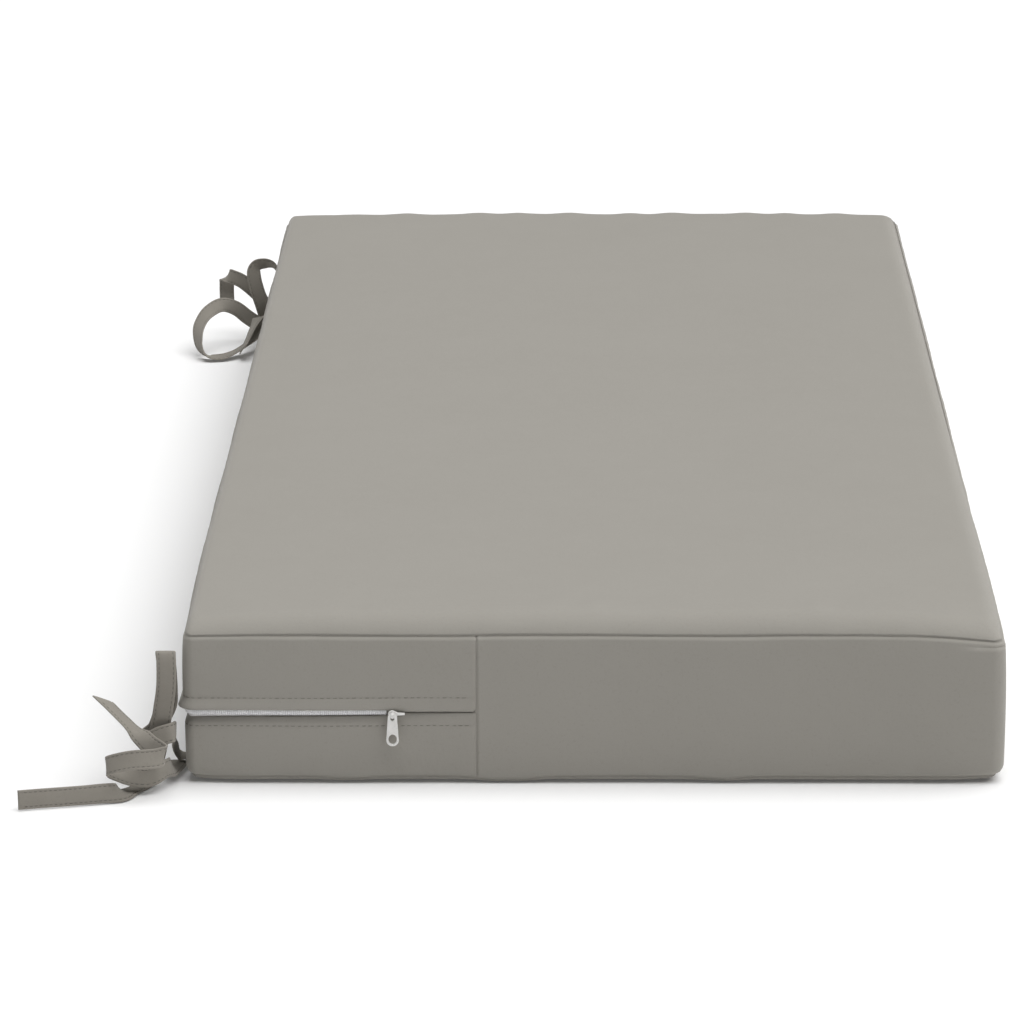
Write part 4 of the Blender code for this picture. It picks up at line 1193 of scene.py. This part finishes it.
# Fills the innermost row with a grid that is split at the middle of each corner.
def fillGrid(bm, ring, stations):
    nearRight, farRight, farLeft, nearLeft = [
        i for i, (kind, side, share) in enumerate(stations) if kind == "corner" and share == 0.5]
    count = len(ring)

    def walk(start, end):
        return [ring[(start + k) % count] for k in range((end - start) % count + 1)]

    bottom = walk(nearLeft, nearRight)
    right = walk(nearRight, farRight)
    top = walk(farRight, farLeft)[::-1]
    left = walk(farLeft, nearLeft)[::-1]
    columns = len(bottom) - 1
    rows = len(left) - 1
    grid = {}
    for i in range(columns + 1):
        grid[i, 0] = bottom[i]
        grid[i, rows] = top[i]
    for j in range(rows + 1):
        grid[0, j] = left[j]
        grid[columns, j] = right[j]
    for i in range(1, columns):
        for j in range(1, rows):
            u = i / columns
            v = j / rows
            blend = bottom[i].co * (1 - v) + top[i].co * v + left[j].co * (1 - u) + right[j].co * u
            blend -= bottom[0].co * (1 - u) * (1 - v) + bottom[-1].co * u * (1 - v)
            blend -= top[0].co * (1 - u) * v + top[-1].co * u * v
            blend.z = topSurface(blend)
            grid[i, j] = bm.verts.new(blend)
    for i in range(columns):
        for j in range(rows):
            bm.faces.new((grid[i, j], grid[i + 1, j], grid[i + 1, j + 1], grid[i, j + 1]))


def makeCushion():
    bm = bmesh.new()
    stations = makeStations(cushionSizes)
    columns = [skinColumn(station) for station in stations]
    rings = [[bm.verts.new(place) for place in level] for level in zip(*columns)]
    for lower, upper in zip(rings, rings[1:]):
        joinRings(bm, lower, upper)
    bm.faces.new(list(reversed(rings[0])))
    fillGrid(bm, rings[-1], stations)
    return makeObject("cushion_cover", bm, coverMaterial)


cushion = makeCushion()
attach(cushion, "root")
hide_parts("cushion")
print("cushion made:", len(cushion.data.polygons), "faces")


# Zip: topstitching, tape and coil.

upDown = Vector((0, 0, 1))


# Fine stations along the zip, from x on the far side round the left side to x on the near side.
def zipStations(fromX):
    farShare = shareAtX(cushionSizes["farRadius"], fromX)
    nearShare = shareAtX(cushionSizes["nearRadius"], fromX)
    short, corner, long = (zipSizes[key] for key in ("shortSteps", "cornerSteps", "longSteps"))
    rows = [("side", 2, (1 - farShare) + farShare * i / short) for i in range(short)]
    rows += [("corner", 2, i / corner) for i in range(corner)]
    rows += [("side", 3, i / long) for i in range(long)]
    rows += [("corner", 3, i / corner) for i in range(corner)]
    rows += [("side", 0, nearShare * i / short) for i in range(short + 1)]
    return rows


# Points (place, length so far) of a level line on the side, moved in by inset.
def surfaceLine(stations, z, inset):
    line = []
    gone = 0.0
    for station in stations:
        depth = sideInset(station, z, outlinePoint(station, 0.0)) + inset
        spot = skinPoint(station, depth, z)
        if line:
            gone += (spot - line[-1][0]).length
        line.append((spot, gone))
    return line


# Place on a line at a length, and the directions along and out of the cloth.
def pointOnLine(line, gone):
    before, after, part = stepAt(line, gone)
    along = (after[0] - before[0]).normalized()
    return before[0].lerp(after[0], part), along, along.cross(upDown)


def makeTopstitching():
    bm = bmesh.new()
    stations = zipStations(zipSizes["joinX"] - zipSizes["stitchStart"])
    pitch = zipSizes["stitchPitch"]
    stand, fall = zipSizes["stitchStand"]
    for side, offset in ((-1, zipSizes["rowDown"]), (1, zipSizes["rowUp"])):
        line = surfaceLine(stations, zipSizes["height"] + side * offset, zipSizes["rowDepth"])
        for n in range(int(line[-1][1] / pitch)):
            spine = []
            wobble = zipSizes["stitchWander"] * wander((n * 0.37, side, 0.0), 1.0, 8.0)
            for t in (-1.0, -0.6, 0.0, 0.6, 1.0):
                place, along, out = pointOnLine(line, (n + 0.5 + zipSizes["stitchHalf"] * t) * pitch)
                place = place + out * (stand - fall * t * t) + upDown * wobble
                spine.append((place, out, upDown))
            addThread(bm, spine, zipSizes["stitchRadius"])
    return makeObject("zip_topstitching", bm, threadMaterial)


# White tape behind the folds.
def makeTape():
    bm = bmesh.new()
    half = zipSizes["tapeHalf"]
    height = zipSizes["height"]
    rings = []
    for station in zipStations(zipSizes["coilEndX"]):
        front = sideInset(station, height, outlinePoint(station, 0.0)) + zipSizes["tapeDepth"]
        back = front + zipSizes["tapeThick"]
        ring = []
        for inset, rise in ((front, -half), (front, half), (back, half), (back, -half)):
            spot = skinPoint(station, inset, height)
            ring.append(bm.verts.new((spot.x, spot.y, height + rise)))
        rings.append(ring)
    skinTube(bm, rings)
    return makeObject("zip_tape", bm, tapeMaterial, smooth=False)


# The coil: slanted ribs, each a short bent rod.
def makeCoil():
    bm = bmesh.new()
    line = surfaceLine(zipStations(zipSizes["coilEndX"]), zipSizes["height"], zipSizes["coilFace"])
    pitch = zipSizes["toothPitch"]
    stand, bend = zipSizes["toothBend"]
    for n in range(int(line[-1][1] / pitch)):
        spine = []
        for t in (-1.0, -0.7, -0.25, 0.25, 0.7, 1.0):
            place, along, out = pointOnLine(line, (n + 0.5 + zipSizes["toothSlant"] * t) * pitch)
            place = place - out * (stand + bend * t * t) + upDown * (t * zipSizes["coilHalf"])
            spine.append((place, out, along))
        addThread(bm, spine, zipSizes["toothRadius"])
    return makeObject("zip_coil_ribs", bm, coilMaterial)


topstitching = makeTopstitching()
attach(topstitching, "root")
tape = makeTape()
coil = makeCoil()
for piece in (tape, coil):
    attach(piece, "root")
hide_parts("zip_coil")
print("zip made:", len(coil.data.polygons), "faces of coil")


# Slider and puller.

sliderSizes = {
    "x": -0.1180,
    "length": 0.0102,
    "height": 0.0046,
    "nose": 0.0012,           # height at its thin end
    "noseFrom": 0.15,         # the thin end starts here, as a share of the half length
    "noseGrow": 0.75,         # half height there, as a share of the nose's height
    "roundFrom": -0.45,       # the round end starts here
    "back": -0.6053,          # y of its back
    "thick": 0.0018,
    "bevel": 0.00035,
}

# Bent bar on the slider that carries the puller through its small hole.
bridgeSizes = {
    "halfWide": 0.00080,
    "halfThick": 0.00042,
    "flat": 0.4,              # thinner between its feet
    "rise": 0.0006,           # above the middle of the hole
    # y from the slider's face, height
    "spine": ((0.0004, -0.0002), (-0.0012, -0.0001), (-0.0021, 0.0004), (-0.0024, 0.0014),
              (-0.0018, 0.0024), (0.0002, 0.0030)),
    "steps": 10,
}

pullerSizes = {
    "x": -0.1204,
    "top": 0.0469,
    "length": 0.0210,
    "halfTop": 0.0028,
    "halfEnd": 0.0038,
    "thick": 0.0010,
    "gap": 0.0004,            # behind the puller
    "bevel": 0.00028,
    "holeRadius": 0.0012,
    "holeFromTop": 0.0037,
    "eyeHalfX": 0.0025,
    "eyeHalfZ": 0.0030,
    "eyeFromEnd": 0.0044,
    # raised rim: distance from the eye's edge, height over the face
    "rim": ((0.00010, -0.00010), (0.00022, 0.000168), (0.00045, 0.00028), (0.00072, 0.000196),
            (0.00086, -0.00010)),
    "steps": 32,
    "cutReach": 0.003,        # how far the hole cutters stand out of the plate
}


def arc(x, z, halfX, halfZ, start, end, steps):
    result = []
    for i in range(steps + 1):
        turn = math.radians(start + (end - start) * i / steps)
        result.append((x + halfX * math.cos(turn), z + halfZ * math.sin(turn)))
    return result


def oval(x, z, halfX, halfZ, steps):
    return arc(x, z, halfX, halfZ, 0, 360 - 360 / steps, steps - 1)


def addPlate(bm, outline, yFront, yBack):
    skinTube(bm, [[bm.verts.new((x, y, z)) for x, z in outline] for y in (yFront, yBack)])


def softenEdges(thing, width):
    bevel = thing.modifiers.new("soft edges", "BEVEL")
    bevel.width = width
    bevel.segments = 3
    bevel.limit_method = "ANGLE"
    bevel.angle_limit = math.radians(40)
    # puts the result of the modifiers into the mesh
    done = bpy.data.meshes.new_from_object(thing.evaluated_get(bpy.context.evaluated_depsgraph_get()))
    thing.modifiers.clear()
    thing.data = done
    done.shade_smooth()
    done.set_sharp_from_angle(angle=math.radians(50))
    return thing


def makeSlider(sizes):
    bm = bmesh.new()
    x = sizes["x"]
    z = zipSizes["height"]
    half = sizes["length"] / 2
    roundX = sizes["roundFrom"] * half
    outline = arc(x + roundX, z, half + roundX, sizes["height"] / 2, 90, 270, 14)
    start = x + half * sizes["noseFrom"]
    wide = sizes["nose"] * sizes["noseGrow"]
    tip = sizes["nose"] / 2
    outline += [(start, z - wide), (x + half, z - tip), (x + half, z + tip), (start, z + wide)]
    addPlate(bm, outline, sizes["back"] - sizes["thick"], sizes["back"])
    return softenEdges(makeObject("zip_slider_body", bm, enamelMaterial), sizes["bevel"])


def makeBridge(sizes):
    bm = bmesh.new()
    base = pullerSizes["top"] - pullerSizes["holeFromTop"] + sizes["rise"]
    face = sliderSizes["back"] - sliderSizes["thick"]
    wide = Vector((sizes["halfWide"], 0, 0))
    rings = []
    for i, (y, z) in enumerate(sizes["spine"]):
        flat = sizes["flat"] if 0 < i < len(sizes["spine"]) - 1 else 1.0
        thick = Vector((0, sizes["halfThick"] * flat, sizes["halfThick"]))
        rings.append(addRing(bm, Vector((pullerSizes["x"], face + y, base + z)), wide, thick, sizes["steps"]))
    skinTube(bm, rings)
    return makeObject("zip_slider_bridge", bm, enamelMaterial)


def makePuller(sizes):
    bm = bmesh.new()
    x = sizes["x"]
    bottom = sizes["top"] - sizes["length"]
    steps = sizes["steps"] // 2
    outline = arc(x, sizes["top"] - sizes["halfTop"], sizes["halfTop"], sizes["halfTop"], 0, 180, steps)
    outline += arc(x, bottom + sizes["halfEnd"], sizes["halfEnd"], sizes["halfEnd"], 180, 360, steps)
    back = sliderSizes["back"] - sliderSizes["thick"] - sizes["gap"]
    addPlate(bm, outline, back - sizes["thick"], back)
    plate = makeObject("zip_puller_plate", bm, enamelMaterial)
    eyeZ = bottom + sizes["eyeFromEnd"]
    holeZ = sizes["top"] - sizes["holeFromTop"]
    guides = []
    for halfX, halfZ, z in ((sizes["holeRadius"], sizes["holeRadius"], holeZ),
                            (sizes["eyeHalfX"], sizes["eyeHalfZ"], eyeZ)):
        bm = bmesh.new()
        outline = oval(x, z, halfX, halfZ, sizes["steps"])
        addPlate(bm, outline, back - sizes["cutReach"], back + sizes["cutReach"])
        guide = makeObject("hole_guide", bm, enamelMaterial)
        cut = plate.modifiers.new("hole", "BOOLEAN")
        cut.operation = "DIFFERENCE"
        cut.solver = "EXACT"
        cut.object = guide
        guides.append(guide)
    softenEdges(plate, sizes["bevel"])
    for guide in guides:
        bpy.data.objects.remove(guide, do_unlink=True)
    return plate, makeRim(sizes, eyeZ, back - sizes["thick"])


# Raised rim round the puller's eye.
def makeRim(sizes, eyeZ, face):
    bm = bmesh.new()
    rings = []
    for grow, lift in sizes["rim"]:
        outline = oval(sizes["x"], eyeZ, sizes["eyeHalfX"] + grow, sizes["eyeHalfZ"] + grow, sizes["steps"])
        rings.append([bm.verts.new((x, face - lift, z)) for x, z in outline])
    for first, second in zip(rings, rings[1:] + rings[:1]):
        joinRings(bm, first, second)
    return makeObject("zip_puller_rim", bm, enamelMaterial)


sliderBody = makeSlider(sliderSizes)
sliderBridge = makeBridge(bridgeSizes)
pullerPlate, pullerRim = makePuller(pullerSizes)
for piece in (sliderBody, sliderBridge, pullerPlate, pullerRim):
    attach(piece, "root")
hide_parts("zip_slider")
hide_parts("zip_puller")
print("slider and puller made")


# Floor and light.

lightSetup = {
    "floorColour": (0.90, 0.90, 0.90),
    "floorGlow": 0.06,        # painted light: the floor glows a little, which lifts its contact shadows
    "floorEdges": ((-9, -6), (9, -6), (9, 14), (-9, 14)),
    "skyStrength": 0.06,
    "sun": 3.61,              # one broad overhead light
    "sunAngle": 72.0,         # degrees across, so its shadows are very soft
    "sunFrom": (0.30, -0.01, 1.0),
}


def makeFloor(setup):
    bm = bmesh.new()
    bm.faces.new([bm.verts.new((x, y, 0.0)) for x, y in setup["floorEdges"]])
    material, tree, shader, spot = startMaterial("floor_paper")
    cloudy = noiseField(tree, spot.outputs["Object"], 0.8)
    colour = setup["floorColour"]
    setInputs(tree, shader, {
        "Base Color": mixColours(tree, cloudy, colour, tuple(c * 0.99 for c in colour)),
        "Roughness": 0.9,
        "Specular IOR Level": 0.2,
        # painted light: a faint glow that lifts the shadows on the floor
        "Emission Color": (1.0, 1.0, 1.0),
        "Emission Strength": setup["floorGlow"],
    })
    floor = makeObject("floor", bm, material, smooth=False)


def makeLight(setup):
    world = bpy.data.worlds.new("studio")
    bpy.context.scene.world = world
    world.use_nodes = True
    sky = world.node_tree.nodes["Background"]
    setInputs(world.node_tree, sky, {"Color": (1.0, 1.0, 1.0), "Strength": setup["skyStrength"]})
    data = bpy.data.lights.new("overhead", "SUN")
    data.energy = setup["sun"]
    data.angle = math.radians(setup["sunAngle"])
    lamp = bpy.data.objects.new("overhead", data)
    lamp.location = (0.0, 0.0, 3.0)
    lamp.rotation_euler = (-Vector(setup["sunFrom"])).to_track_quat("-Z", "Y").to_euler()
    bpy.context.collection.objects.link(lamp)


makeFloor(lightSetup)
makeLight(lightSetup)
bpy.context.scene.view_settings.view_transform = "Standard"
print("floor and light set")
